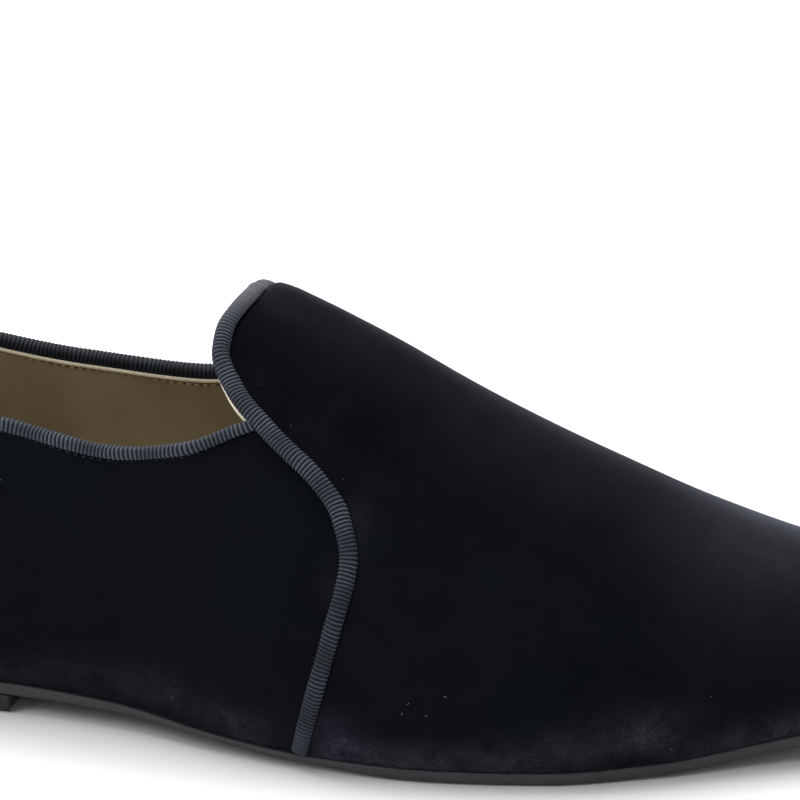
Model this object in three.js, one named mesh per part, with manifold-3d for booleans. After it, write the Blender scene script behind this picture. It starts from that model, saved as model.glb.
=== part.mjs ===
// Velvet slipper loafer, right shoe. Millimetres, +X from heel to toe, +Y to the inner side, +Z up.
// The shapes are worked out with the back of the sole at X = 0 and the floor at Z = 0. The finished
// shoe is then set with the middle of its heel's rest face on the origin.

import * as THREE from "three";
import Module from "manifold-3d";

const wasm = await Module();
wasm.setup();
const { Manifold, Mesh: ManifoldMesh } = wasm;

// Driving sizes of the shoe
const LENGTH = 246;
const BALL_WIDTH = 84;
const INSTEP_HEIGHT = 82;
const BACK_HEIGHT = 65.5;
const HEEL_LENGTH = 62;
const HEEL_RISE = 6.4;
const TOE_SPRING = 8.5;
const TOE_SWING = 9;

// Thicknesses and clearances
const SOLE = 2.4;
const INSOLE = 2.0;
const WALL = 1.6;
const VAMP_STEP = 0.8;
const MARGIN = 1.2;
const MARGIN_WIDTH = 9;
const TAPE = 0.7;
const GAP = 0.3;
const LEDGE = 0.6;

// How far the upper swells past the sole, how high its widest line lies, and where its ridge runs
const OVERHANG = 6.6;
const BELLY_HEIGHT = 20;
const RIDGE_SHIFT = 2.5;

// Rounding of the two ends, in plan and at the nose
const HEEL_ROUND = 43;
const HEEL_POWER = 2.2;
const TOE_ROUND = 46;
const TOE_POWER = 2.2;
const NOSE_LENGTH = 22;
const NOSE_POWER = 2.2;
const NOSE_WALL = 0.42;

// The back leans towards the toe, by this much at the top line
const BACK_LEAN = 5;
const LEAN_REACH = 62;
const LEAN_POWER = 1.6;

// The wall turns under below its widest line, and closes over the foot above it
const LOW_SHARE = 0.22;
const TURN_UNDER = THREE.MathUtils.degToRad(38);
const ARCH_POWER = 2.05;

// The feathered waist of the sole, and the tape's cover on each side of an edge
const FEATHER = 9;
const SOLE_CHAMFER = 0.4;
const TAPE_DROP = 2.1;
const TAPE_HALF = 1.6;

// How finely the curved faces are cut
const HALF_RING = 34;
const LOW_ROWS = 3;
const ARCH_ROWS = 11;
const EDGE_ROWS = 30;
const QUARTER_COLUMNS = 30;
const SLAB_COLUMNS = 80;
const FINE = 400;

// Turns rows of numbers into rows with named columns
function table(columns, rows) {
  return rows.map((row) => Object.fromEntries(row.map((value, i) => [columns[i], value])));
}

// One row per cross section. "at" is a share of LENGTH, "lateral" and "medial" of BALL_WIDTH,
// "ridge" of INSTEP_HEIGHT, "belly" of BELLY_HEIGHT, "overLateral" and "overMedial" of OVERHANG,
// "middle" of TOE_SWING, "shift" of RIDGE_SHIFT, "lift" of HEEL_RISE, "spring" of TOE_SPRING and
// "edge" of SOLE.
const SECTIONS = table(
  ["at", "middle", "lateral", "medial", "overLateral", "overMedial", "belly", "ridge", "shift",
    "lift", "spring", "edge"],
  [
    [0.00, 0.00, 0.340, 0.338, 0.12, 0.12, 0.85, 1.195, 0.0, 1.00, 0.00, 1.00],
    [0.13, 0.00, 0.343, 0.338, 0.18, 0.21, 0.90, 1.207, 0.0, 0.81, 0.00, 1.00],
    [0.25, 0.00, 0.346, 0.326, 0.30, 0.52, 0.95, 1.195, 0.2, 0.56, 0.00, 1.00],
    [0.34, 0.00, 0.383, 0.298, 0.45, 0.91, 1.00, 1.122, 0.4, 0.43, 0.00, 0.72],
    [0.435, 0.00, 0.478, 0.305, 0.45, 1.00, 0.95, 0.998, 0.6, 0.17, 0.00, 0.45],
    [0.51, 0.02, 0.536, 0.357, 0.30, 0.67, 0.85, 0.898, 0.8, 0.05, 0.00, 0.50],
    [0.60, 0.09, 0.560, 0.433, 0.18, 0.30, 0.70, 0.744, 1.0, 0.00, 0.00, 0.90],
    [0.70, 0.24, 0.530, 0.460, 0.14, 0.15, 0.60, 0.598, 1.0, 0.00, 0.00, 1.00],
    [0.78, 0.44, 0.448, 0.417, 0.11, 0.12, 0.55, 0.500, 0.8, 0.00, 0.05, 1.00],
    [0.86, 0.64, 0.332, 0.350, 0.08, 0.08, 0.50, 0.430, 0.5, 0.00, 0.28, 1.00],
    [0.935, 0.84, 0.272, 0.302, 0.06, 0.06, 0.48, 0.387, 0.2, 0.00, 0.62, 1.00],
    [1.00, 1.00, 0.246, 0.268, 0.06, 0.06, 0.45, 0.366, 0.0, 0.00, 1.00, 1.00],
  ],
);

// The top line of the quarters: "at" is a share of LENGTH, "lateral" and "medial" of BACK_HEIGHT
const TOPLINE = table(
  ["at", "lateral", "medial"],
  [
    [0.00, 1.000, 1.000],
    [0.06, 0.992, 0.986],
    [0.13, 0.963, 0.938],
    [0.25, 0.904, 0.868],
    [0.345, 0.863, 0.848],
    [0.405, 0.898, 0.882],
    [0.445, 0.958, 0.948],
    [0.50, 1.030, 1.030],
  ],
);

// The vamp's edge from sole to tongue: "up" is a share of INSTEP_HEIGHT, "at" of LENGTH
const VAMP_EDGE = table(
  ["up", "at"],
  [
    [0.035, 0.508],
    [0.17, 0.521],
    [0.34, 0.536],
    [0.50, 0.546],
    [0.60, 0.535],
    [0.67, 0.514],
    [0.756, 0.474],
    [0.84, 0.439],
    [0.915, 0.421],
    [0.95, 0.420],
    [1.00, 0.428],
  ],
);

// Smooth curve through a table's rows that never swings past them
function along(rows, key, column, at) {
  const last = rows.length - 1;
  const slope = (i) => (rows[i + 1][column] - rows[i][column]) / (rows[i + 1][key] - rows[i][key]);
  const tangent = (i) => {
    if (i === 0) return slope(0);
    if (i === last) return slope(last - 1);
    const before = slope(i - 1);
    const after = slope(i);
    return before * after <= 0 ? 0 : (2 * before * after) / (before + after);
  };
  let k = 0;
  while (k < last - 1 && rows[k + 1][key] <= at) k += 1;
  const span = rows[k + 1][key] - rows[k][key];
  const s = THREE.MathUtils.clamp((at - rows[k][key]) / span, 0, 1);
  const start = (1 + 2 * s) * (1 - s) ** 2 * rows[k][column];
  const end = s * s * (3 - 2 * s) * rows[k + 1][column];
  const leave = s * (1 - s) ** 2 * span * tangent(k);
  const arrive = s * s * (s - 1) * span * tangent(k + 1);
  return start + end + leave + arrive;
}

const section = (x, column) => along(SECTIONS, "at", column, x / LENGTH);

// Falls from 1 at "from" to 0 at "to", round like a superellipse
function endRound(x, from, to, power) {
  const s = THREE.MathUtils.clamp((x - from) / (to - from), 0, 1);
  return (1 - s ** power) ** (1 / power);
}

const roundedEnds = (x) =>
  endRound(x, HEEL_ROUND, 0, HEEL_POWER) * endRound(x, LENGTH - TOE_ROUND, LENGTH, TOE_POWER);

// Heights of the sole's top and underside, and of the line where the upper meets the sole
const soleTop = (x) => SOLE + HEEL_RISE * section(x, "lift") + TOE_SPRING * section(x, "spring");
const soleUnderside = (x) => soleTop(x) - SOLE;
const soleEdgeFoot = (x) => soleTop(x) - SOLE * section(x, "edge");
const featherLine = (x) => soleTop(x) + GAP;
const middleLine = (x) => TOE_SWING * section(x, "middle");

// Station along the shoe for a turn round its plan: 0 at the heel, PI at the toe, lateral side first
const stationAt = (turn) => (LENGTH * (1 - Math.cos(turn))) / 2;
const turnAt = (x) => Math.acos(1 - (2 * x) / LENGTH);
const isLateral = (turn) => Math.sin(turn) >= 0;

// The sole's outline at a turn
function outline(turn) {
  const x = stationAt(turn);
  const half = BALL_WIDTH * roundedEnds(x) * section(x, isLateral(turn) ? "lateral" : "medial");
  return new THREE.Vector2(x, middleLine(x) + (isLateral(turn) ? -half : half));
}

// The outline's inward direction in plan
function inward(turn) {
  const step = 0.002;
  const ahead = outline(turn + step).sub(outline(turn - step)).normalize();
  return new THREE.Vector2(-ahead.y, ahead.x);
}

// A point that lies "inset" inside the outline, at height z
function insetPoint(turn, inset, z) {
  const p = outline(turn).addScaledVector(inward(turn), inset);
  return new THREE.Vector3(p.x, p.y, z);
}

// The outside of the quarters. "girth" runs from 0 at the sole to 1 on the ridge, and past 1 it
// comes down the other side.
function lastPoint(turnIn, girthIn) {
  const turn = girthIn > 1 ? -turnIn : turnIn;
  const girth = girthIn > 1 ? 2 - girthIn : girthIn;
  const x = stationAt(turn);
  const foot = featherLine(x);
  const nose = NOSE_WALL + (1 - NOSE_WALL) * endRound(x, LENGTH - NOSE_LENGTH, LENGTH, NOSE_POWER);
  const rise = (INSTEP_HEIGHT * section(x, "ridge") - foot) * nose;
  const belly = BELLY_HEIGHT * section(x, "belly") * nose;
  const over = OVERHANG * section(x, isLateral(turn) ? "overLateral" : "overMedial");
  const ridgeY = middleLine(x) + RIDGE_SHIFT * section(x, "shift") * roundedEnds(x);
  const low = girth < LOW_SHARE;
  let inset = -over;
  let spread = 1;
  let z = foot;
  if (low) {
    const lean = TURN_UNDER + (Math.PI / 2 - TURN_UNDER) * Math.max(girth / LOW_SHARE, 0);
    inset += ((over + LEDGE) * (1 - Math.sin(lean))) / (1 - Math.sin(TURN_UNDER));
    z += belly * (1 - Math.cos(lean) / Math.cos(TURN_UNDER));
  } else {
    const arch = ((girth - LOW_SHARE) / (1 - LOW_SHARE)) * (Math.PI / 2);
    spread = Math.max(Math.cos(arch), 0) ** (2 / ARCH_POWER);
    z += belly + (rise - belly) * Math.sin(arch) ** (2 / ARCH_POWER);
  }
  const widest = insetPoint(turn, inset, z);
  const up = Math.max((z - foot - belly) / (BACK_HEIGHT - foot - belly), 0);
  const back = BACK_LEAN * up ** LEAN_POWER * Math.max(1 - x / LEAN_REACH, 0) ** 2;
  return new THREE.Vector3(x + (widest.x - x) * spread + back, ridgeY + (widest.y - ridgeY) * spread, z);
}

// Outward direction of that surface
function lastNormal(turn, girth) {
  const step = 0.002;
  const round = lastPoint(turn + step, girth).sub(lastPoint(turn - step, girth));
  const up = lastPoint(turn, girth + step).sub(lastPoint(turn, Math.max(girth - step, 0)));
  return round.cross(up).normalize();
}

const offsetPoint = (turn, girth, offset) =>
  lastPoint(turn, girth).addScaledVector(lastNormal(turn, girth), offset);

// Girth rows of a whole section, close together where the wall turns under
const GIRTHS = [
  ...Array.from({ length: LOW_ROWS }, (_, j) => (LOW_SHARE * j) / LOW_ROWS),
  ...Array.from({ length: ARCH_ROWS + 1 }, (_, j) => LOW_SHARE + ((1 - LOW_SHARE) * j) / ARCH_ROWS),
];

const ringTurns = Array.from({ length: 2 * HALF_RING }, (_, i) => (Math.PI * i) / HALF_RING);

// Turns points and triangles into a solid, facing outwards
function solid(points, faces) {
  let volume = 0;
  for (const [a, b, c] of faces) {
    volume += points[a].dot(new THREE.Vector3().crossVectors(points[b], points[c]));
  }
  const facing = volume < 0 ? faces.map(([a, b, c]) => [a, c, b]) : faces;
  const mesh = new ManifoldMesh({
    numProp: 3,
    vertProperties: new Float32Array(points.flatMap((p) => p.toArray())),
    triVerts: new Uint32Array(facing.flat()),
  });
  mesh.merge();
  return new Manifold(mesh);
}

const quad = (a, b, c, d) => [[a, b, c], [a, c, d]];

// Closed solid through rings of equal length. Each ring's two halves mirror each other, so the ends
// are closed by strips from side to side. A pinched solid ends in a ridge where both halves meet.
function closedLoft(rings, pinched = false) {
  const count = rings[0].length;
  const half = count / 2;
  const top = rings.length - 1;
  const points = rings.flatMap((ring, j) => (pinched && j === top ? ring.slice(0, half + 1) : ring));
  const index = (j, i) => {
    const k = (i + count) % count;
    return j * count + (pinched && j === top && k > half ? count - k : k);
  };
  const faces = [];
  for (let j = 0; j < top; j += 1) {
    for (let i = 0; i < count; i += 1) {
      faces.push(...quad(index(j, i), index(j, i + 1), index(j + 1, i + 1), index(j + 1, i)));
    }
  }
  for (const j of pinched ? [0] : [0, top]) {
    for (let i = 0; i < half; i += 1) {
      const strip = quad(index(j, i), index(j, -i), index(j, -i - 1), index(j, i + 1));
      faces.push(...(j === 0 ? strip : strip.map(([a, b, c]) => [a, c, b])));
    }
  }
  return solid(points, faces.filter(([a, b, c]) => a !== b && b !== c && c !== a));
}

// Closed block between two grids of points, "near" and "far", each placed by its row and column
function gridBlock(rows, columns, near, far) {
  const points = [];
  for (const place of [near, far]) {
    for (let r = 0; r <= rows; r += 1) {
      for (let c = 0; c <= columns; c += 1) points.push(place(r, c));
    }
  }
  const index = (side, r, c) => side * (rows + 1) * (columns + 1) + r * (columns + 1) + c;
  const faces = [];
  for (let r = 0; r < rows; r += 1) {
    for (let c = 0; c < columns; c += 1) {
      faces.push(...quad(index(0, r, c), index(0, r, c + 1), index(0, r + 1, c + 1), index(0, r + 1, c)));
      faces.push(...quad(index(1, r, c), index(1, r + 1, c), index(1, r + 1, c + 1), index(1, r, c + 1)));
    }
  }
  for (let c = 0; c < columns; c += 1) {
    faces.push(...quad(index(0, 0, c), index(1, 0, c), index(1, 0, c + 1), index(0, 0, c + 1)));
    faces.push(...quad(index(0, rows, c), index(0, rows, c + 1), index(1, rows, c + 1), index(1, rows, c)));
  }
  for (let r = 0; r < rows; r += 1) {
    faces.push(...quad(index(0, r, 0), index(0, r + 1, 0), index(1, r + 1, 0), index(1, r, 0)));
    faces.push(
      ...quad(index(0, r, columns), index(1, r, columns), index(1, r + 1, columns), index(0, r + 1, columns)),
    );
  }
  return solid(points, faces);
}

// Solid swept through sections that all follow one flat profile
function sweep(sections, profile) {
  const size = profile.length;
  const faces = [];
  for (let s = 0; s < sections.length - 1; s += 1) {
    for (let i = 0; i < size; i += 1) {
      const j = (i + 1) % size;
      faces.push(...quad(s * size + i, s * size + j, (s + 1) * size + j, (s + 1) * size + i));
    }
  }
  const end = (sections.length - 1) * size;
  for (const [a, b, c] of THREE.ShapeUtils.triangulateShape(profile, [])) {
    const turned = THREE.ShapeUtils.area(profile) > 0;
    faces.push(turned ? [a, c, b] : [a, b, c]);
    faces.push(turned ? [end + a, end + b, end + c] : [end + a, end + c, end + b]);
  }
  return solid(sections.flat(), faces);
}

// Turns of one side: the lateral side counts up from the heel, the medial side counts down
const sideTurn = (side, x) => (side === "lateral" ? turnAt(x) : -turnAt(x));

// Girth at which the wall reaches height z
function girthAtHeight(turn, z) {
  let low = 0;
  let high = 1;
  for (let n = 0; n < 40; n += 1) {
    const middle = (low + high) / 2;
    if (lastPoint(turn, middle).z < z) low = middle;
    else high = middle;
  }
  return (low + high) / 2;
}

const toplineGirth = (side, turn) => {
  const x = stationAt(turn);
  return girthAtHeight(turn, BACK_HEIGHT * along(TOPLINE, "at", side, x / LENGTH));
};

const vampEdgeX = (z) => LENGTH * along(VAMP_EDGE, "up", "at", z / INSTEP_HEIGHT);

// Turn at which the vamp's edge crosses a girth row
function vampEdgeTurn(side, girth) {
  const sign = side === "lateral" ? 1 : -1;
  let low = turnAt(LENGTH * 0.3);
  let high = turnAt(LENGTH * 0.7);
  for (let n = 0; n < 40; n += 1) {
    const middle = (low + high) / 2;
    const p = lastPoint(sign * middle, girth);
    if (p.x < vampEdgeX(p.z)) low = middle;
    else high = middle;
  }
  return (sign * (low + high)) / 2;
}

// Girth of the corner where the top line runs under the vamp's edge
function junctionGirth(side) {
  let low = 0.4;
  let high = 0.9;
  for (let n = 0; n < 40; n += 1) {
    const middle = (low + high) / 2;
    if (toplineGirth(side, vampEdgeTurn(side, middle)) > middle) low = middle;
    else high = middle;
  }
  return (low + high) / 2;
}

const SIDES = ["lateral", "medial"];
const PAST_RIDGE = 1.05;
const PAST_HEEL = 0.03;
const CUT_OVER = 1.5;
const CUT_OUT = VAMP_STEP + CUT_OVER;
const CUT_IN = WALL + CUT_OVER;

// Girths at even distances along the vamp's edge, from the sole to the ridge
function vampEdgeGirths(side) {
  const girths = Array.from({ length: FINE + 1 }, (_, i) => i / FINE);
  const points = girths.map((girth) => lastPoint(vampEdgeTurn(side, girth), girth));
  const lengths = [0];
  for (let i = 1; i <= FINE; i += 1) lengths.push(lengths[i - 1] + points[i].distanceTo(points[i - 1]));
  return Array.from({ length: EDGE_ROWS + 1 }, (_, n) => {
    const wanted = (lengths[FINE] * n) / EDGE_ROWS;
    const k = Math.min(Math.max(lengths.findIndex((length) => length >= wanted), 1), FINE);
    const s = (wanted - lengths[k - 1]) / (lengths[k] - lengths[k - 1]);
    return girths[k - 1] + s * (girths[k] - girths[k - 1]);
  });
}

// Where the vamp's edge and the top line meet on each side, and the rows along the edge
const EDGES = Object.fromEntries(
  SIDES.map((side) => {
    const corner = junctionGirth(side);
    return [side, { corner, cornerTurn: vampEdgeTurn(side, corner), girths: vampEdgeGirths(side) }];
  }),
);

// Share of the way from the heel to the vamp's edge, for a column of a cutter
const columnShare = (c) => (c === 0 ? -PAST_HEEL : (c - 1) / QUARTER_COLUMNS);

// What is taken off behind the vamp's edge, down to the quarters' outside
function stepCutter(side) {
  const girths = [...EDGES[side].girths, PAST_RIDGE];
  const place = (offset) => (r, c) => {
    const front = vampEdgeTurn(side, Math.min(girths[r], 1));
    const p = offsetPoint(front * columnShare(c), girths[r], offset);
    return r === 0 ? p.add(new THREE.Vector3(0, 0, -CUT_OUT)) : p;
  };
  return gridBlock(girths.length - 1, QUARTER_COLUMNS + 1, place(0), place(CUT_OUT));
}

// What is taken off above the top line and behind the vamp's edge
function openingCutter(side) {
  const { corner, cornerTurn, girths } = EDGES[side];
  const above = girths.filter((girth) => girth > corner + 0.5 * (1 - corner) / EDGE_ROWS);
  const fronts = [corner, ...above, PAST_RIDGE];
  const place = (offset) => (r, c) => {
    const share = columnShare(c);
    const rise = (fronts[r] - corner) / (PAST_RIDGE - corner);
    const front = r === 0 ? cornerTurn : vampEdgeTurn(side, Math.min(fronts[r], 1));
    const foot = toplineGirth(side, cornerTurn * Math.max(share, 0));
    return offsetPoint(front * share, foot * (1 - rise) + PAST_RIDGE * rise, offset);
  };
  return gridBlock(fronts.length - 1, QUARTER_COLUMNS + 1, place(-CUT_IN), place(CUT_OUT));
}

// A whole last, shrunk or swollen by an offset
function lastSolid(offset) {
  const rings = GIRTHS.map((girth) => ringTurns.map((turn) => offsetPoint(turn, girth, offset)));
  return closedLoft(rings, true);
}

const ringAt = (inset, height) => ringTurns.map((turn) => insetPoint(turn, inset, height(stationAt(turn))));

// All that lies more than "rise" above the line where the upper meets the sole
function aboveFeather(rise) {
  const wide = BALL_WIDTH;
  const x = (c) => -wide / 2 + ((LENGTH + wide) * c) / SLAB_COLUMNS;
  const y = (r) => wide * (2 * r - 1);
  const height = (c) => featherLine(THREE.MathUtils.clamp(x(c), 0, LENGTH)) + rise;
  return gridBlock(
    1,
    SLAB_COLUMNS,
    (r, c) => new THREE.Vector3(x(c), y(r), height(c)),
    (r, c) => new THREE.Vector3(x(c), y(r), 2 * INSTEP_HEIGHT),
  );
}

// The sections close over the foot as if there were no opening. This takes their tops off
function aboveOpening() {
  const behindTongue = Math.min(...VAMP_EDGE.map((row) => row.at)) * LENGTH - TAPE_HALF;
  const place = (x) => (r, c) =>
    new THREE.Vector3(x, BALL_WIDTH * (c - 0.5), BACK_HEIGHT + CUT_OVER + INSTEP_HEIGHT * r);
  return gridBlock(1, 1, place(-BALL_WIDTH), place(behindTongue));
}

function upperSolid() {
  const inside = lastSolid(-WALL).intersect(aboveFeather(MARGIN));
  const windowInset = LEDGE + MARGIN_WIDTH;
  const below = () => -SOLE;
  const above = (x) => featherLine(x) + 2 * MARGIN;
  const footWindow = closedLoft([ringAt(windowInset, below), ringAt(windowInset, above)]);
  const outside = lastSolid(VAMP_STEP).intersect(aboveFeather(0));
  let shell = outside.subtract(inside).subtract(footWindow);
  for (const side of SIDES) {
    shell = shell.subtract(stepCutter(side)).subtract(openingCutter(side));
  }
  return shell.subtract(aboveOpening());
}

function outsoleSolid() {
  const underInset = (x) => SOLE_CHAMFER + FEATHER * (1 - section(x, "edge"));
  const under = ringTurns.map((turn) => {
    const x = stationAt(turn);
    return insetPoint(turn, underInset(x), soleUnderside(x));
  });
  const foot = (x) => Math.max(soleEdgeFoot(x), soleUnderside(x) + SOLE_CHAMFER);
  return closedLoft([under, ringAt(0, foot), ringAt(0, soleTop)]);
}

// The lift's outline follows the sole round the heel and ends in a straight breast
function heelSolid() {
  const breastTurn = turnAt(HEEL_LENGTH);
  const half = Array.from({ length: HALF_RING / 2 + 1 }, (_, i) => (2 * breastTurn * i) / HALF_RING);
  const turns = [...half, ...half.slice(1).reverse().map((turn) => -turn)];
  const ring = (inset, height) => turns.map((turn) => insetPoint(turn, inset, height(stationAt(turn))));
  const rings = [
    ring(SOLE_CHAMFER * 2, () => 0),
    ring(SOLE_CHAMFER, () => SOLE_CHAMFER),
    ring(0, (x) => soleUnderside(x) - GAP),
  ];
  const count = turns.length;
  const points = rings.flat();
  const faces = [];
  for (let j = 0; j < rings.length - 1; j += 1) {
    for (let i = 0; i < count; i += 1) {
      const k = (i + 1) % count;
      faces.push(...quad(j * count + i, j * count + k, (j + 1) * count + k, (j + 1) * count + i));
    }
  }
  const top = (rings.length - 1) * count;
  for (let i = 0; i < half.length - 1; i += 1) {
    const k = (count - i) % count;
    const corners = [i, i + 1, count - i - 1, k];
    faces.push(...quad(...corners).map(([a, b, c]) => [a, c, b]));
    faces.push(...quad(...corners.map((n) => top + n)));
  }
  return solid(points, faces.filter(([a, b, c]) => a !== b && b !== c && c !== a));
}

function insoleSolid() {
  const inset = LEDGE + WALL / Math.cos(TURN_UNDER) + GAP;
  const under = (x) => featherLine(x) + MARGIN + GAP;
  const over = (x) => under(x) + INSOLE;
  const shoulder = (x) => over(x) - SOLE_CHAMFER;
  return closedLoft([ringAt(inset, under), ringAt(inset, shoulder), ringAt(inset + SOLE_CHAMFER, over)]);
}

// The tape's section over a free edge: "out" along the wall's normal, "up" past the edge
function tapeProfile(thickness) {
  const outside = GAP + TAPE;
  const round = TAPE * 0.6;
  return [
    [outside, -TAPE_DROP],
    [outside, outside - round],
    [outside - round, outside],
    [-thickness - outside + round, outside],
    [-thickness - outside, outside - round],
    [-thickness - outside, -TAPE_DROP],
    [-thickness - GAP, -TAPE_DROP],
    [-thickness - GAP, GAP],
    [GAP, GAP],
    [GAP, -TAPE_DROP],
  ].map(([out, up]) => new THREE.Vector2(out, up));
}

// The tape stops this far before the vamp's edge, clear of the tape there
const TAPE_STOP = TAPE_HALF + GAP + TAPE;

// Shares of the way to the corner at which the top line's tape has its sections
function toplineShares(side) {
  const { cornerTurn } = EDGES[side];
  const at = (share) => lastPoint(cornerTurn * share, toplineGirth(side, cornerTurn * share));
  const corner = at(1);
  let low = 0.5;
  let high = 1;
  for (let n = 0; n < 30; n += 1) {
    const middle = (low + high) / 2;
    if (at(middle).distanceTo(corner) > TAPE_STOP) low = middle;
    else high = middle;
  }
  const steps = Array.from({ length: QUARTER_COLUMNS }, (_, c) => c / QUARTER_COLUMNS);
  return [...steps.filter((share) => share < low - 0.25 / QUARTER_COLUMNS), low];
}

// Sections of a profile set across a run of surface places: x along the wall's normal, y across the run
function sectionsAcross(places, profile) {
  return places.map(({ point, normal }, i) => {
    const before = places[Math.max(i - 1, 0)].point;
    const after = places[Math.min(i + 1, places.length - 1)].point;
    const ahead = after.clone().sub(before).normalize();
    const across = new THREE.Vector3().crossVectors(ahead, normal).normalize();
    return profile.map((q) => point.clone().addScaledVector(normal, q.x).addScaledVector(across, q.y));
  });
}

function toplineBindingSolid() {
  const run = (side) =>
    toplineShares(side).map((share) => {
      const turn = EDGES[side].cornerTurn * share;
      const girth = toplineGirth(side, turn);
      return { point: lastPoint(turn, girth), normal: lastNormal(turn, girth) };
    });
  const places = [...run("lateral").reverse(), ...run("medial").slice(1)];
  const profile = tapeProfile(WALL);
  return sweep(sectionsAcross(places, profile), profile);
}

// The vamp tape's section: its top lies on the vamp, and its foot stands on the quarter behind it
function vampTapeProfile() {
  const outside = VAMP_STEP + GAP + TAPE;
  const round = TAPE * 0.6;
  return [
    [VAMP_STEP + GAP, TAPE_HALF],
    [outside - round, TAPE_HALF],
    [outside, TAPE_HALF - round],
    [outside, -TAPE_HALF + round],
    [outside - round, -TAPE_HALF],
    [GAP, -TAPE_HALF],
    [GAP, -GAP],
    [VAMP_STEP + GAP, -GAP],
  ].map(([out, fore]) => new THREE.Vector2(out, fore));
}

function vampBindingSolid() {
  const run = (side) =>
    EDGES[side].girths.slice(1).map((girth) => {
      const turn = vampEdgeTurn(side, girth);
      return { point: lastPoint(turn, girth), normal: lastNormal(turn, girth) };
    });
  const places = [...run("lateral"), ...run("medial").reverse().slice(1)];
  const profile = vampTapeProfile();
  return sweep(sectionsAcross(places, profile), profile);
}

// A solid as a named mesh with its own material
function part(name, shape, colour, roughness) {
  const { vertProperties, triVerts, numProp } = shape.getMesh();
  const positions = new Float32Array((vertProperties.length / numProp) * 3);
  for (let i = 0; i < positions.length / 3; i += 1) {
    positions.set(vertProperties.subarray(i * numProp, i * numProp + 3), i * 3);
  }
  const geometry = new THREE.BufferGeometry();
  geometry.setAttribute("position", new THREE.BufferAttribute(positions, 3));
  geometry.setIndex(new THREE.BufferAttribute(new Uint32Array(triVerts), 1));
  geometry.computeVertexNormals();
  const material = new THREE.MeshStandardMaterial({ color: colour, roughness, metalness: 0 });
  const mesh = new THREE.Mesh(geometry, material);
  mesh.name = name;
  return mesh;
}

const shoe = new THREE.Group();
shoe.position.x = -HEEL_LENGTH / 2;
shoe.add(part("outsole", outsoleSolid(), 0x2b2b2e, 0.65));
shoe.add(part("heel", heelSolid(), 0x1f1f22, 0.7));
shoe.add(part("insole", insoleSolid(), 0xb59e7c, 0.6));
shoe.add(part("upper", upperSolid(), 0x13161b, 0.95));
shoe.add(part("topline_binding", toplineBindingSolid(), 0x4a515a, 0.8));
shoe.add(part("vamp_binding", vampBindingSolid(), 0x4a515a, 0.8));

const slipper = new THREE.Group();
slipper.add(shoe);

export default slipper;
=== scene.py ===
"""Velvet slipper loafer for the right foot, with ribbed ribbon bindings and a leather lining.

Every surface is laid on one last: a function of a turn round the shoe's plan, 0 at the heel and pi
at the toe, and a girth, 0 at the sole and 1 on the ridge. The last is worked out in millimetres with
the back of the sole at x = 0, and meshes are made in metres in the row's frame.
"""

from __future__ import annotations

import logging
from dataclasses import dataclass, field
from enum import Enum

import bpy
import numpy as np
from mathutils import Matrix, Vector

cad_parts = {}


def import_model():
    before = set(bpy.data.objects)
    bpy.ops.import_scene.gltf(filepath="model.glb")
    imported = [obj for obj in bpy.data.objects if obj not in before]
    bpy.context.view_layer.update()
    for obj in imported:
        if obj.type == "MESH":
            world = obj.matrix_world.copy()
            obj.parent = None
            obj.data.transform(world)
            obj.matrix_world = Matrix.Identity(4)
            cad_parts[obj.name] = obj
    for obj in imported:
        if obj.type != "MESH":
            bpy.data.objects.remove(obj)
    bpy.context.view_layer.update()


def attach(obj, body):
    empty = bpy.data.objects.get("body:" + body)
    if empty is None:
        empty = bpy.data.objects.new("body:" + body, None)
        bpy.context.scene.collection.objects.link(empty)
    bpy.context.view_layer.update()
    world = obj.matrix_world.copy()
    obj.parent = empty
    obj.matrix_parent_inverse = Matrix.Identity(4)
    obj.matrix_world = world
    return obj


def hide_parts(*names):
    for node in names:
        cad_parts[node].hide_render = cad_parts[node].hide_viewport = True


LOG = logging.getLogger("slipper")

# A bead is its half length, half width and half height. A profile's rows are an inset from the
# outline, a share of the height and, for the lift, a height added.
Colour = tuple[float, float, float, float]
Bead = tuple[float, float, float]
Profile = tuple[tuple[float, ...], ...]

# Metres in a unit of the last, place of its back in the row's frame, and units of the length map
MM = 0.001
BACK_OF_SOLE = -31.0
UV_SCALE = 0.01

# How much rougher a finish is in its clouds, and a factor that scatters a sine from one to the next
UNEVEN_GLOSS = 0.12
SCATTER = 12.9898

# Driving sizes of the shoe, in millimetres
LENGTH = 246.0
BALL_WIDTH = 84.0
INSTEP_HEIGHT = 82.0
BACK_HEIGHT = 65.5
HEEL_LENGTH = 62.0
HEEL_RISE = 6.4
TOE_SPRING = 8.5
TOE_SWING = 9.0

# Thicknesses and clearances
SOLE = 2.4
WALL = 1.6
VAMP_STEP = 0.8
GAP = 0.3
LEDGE = 0.6
FEATHER = 9.0

# How far the upper swells past the sole, how high its widest line lies, and how its wall turns
OVERHANG = 6.6
BELLY_HEIGHT = 20.0
RIDGE_SHIFT = 2.5
LOW_SHARE = 0.22
TURN_UNDER = np.radians(38.0)
ARCH_POWER = 2.05

# Rounding of the two ends, in plan and at the nose, and the lean of the back
HEEL_ROUND = 43.0
TOE_ROUND = 46.0
NOSE_LENGTH = 22.0
NOSE_WALL = 0.42
END_POWER = 2.2
BACK_LEAN = 5.0
LEAN_REACH = 62.0
LEAN_POWER = 1.6

# Droop of the tongue's tip: girths where it starts and is full, and where it fades out ahead
TONGUE_DROOP = 1.65
DROOP_LATERAL = (0.86, 1.0)
DROOP_MEDIAL = (0.55, 0.78)
DROOP_FADE = (-112.0, -101.0)

# Shares of the length between which the vamp's edge lies, and how often a search is halved
EDGE_ZONE = (0.3, 0.7)
HALVINGS = 32

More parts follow.
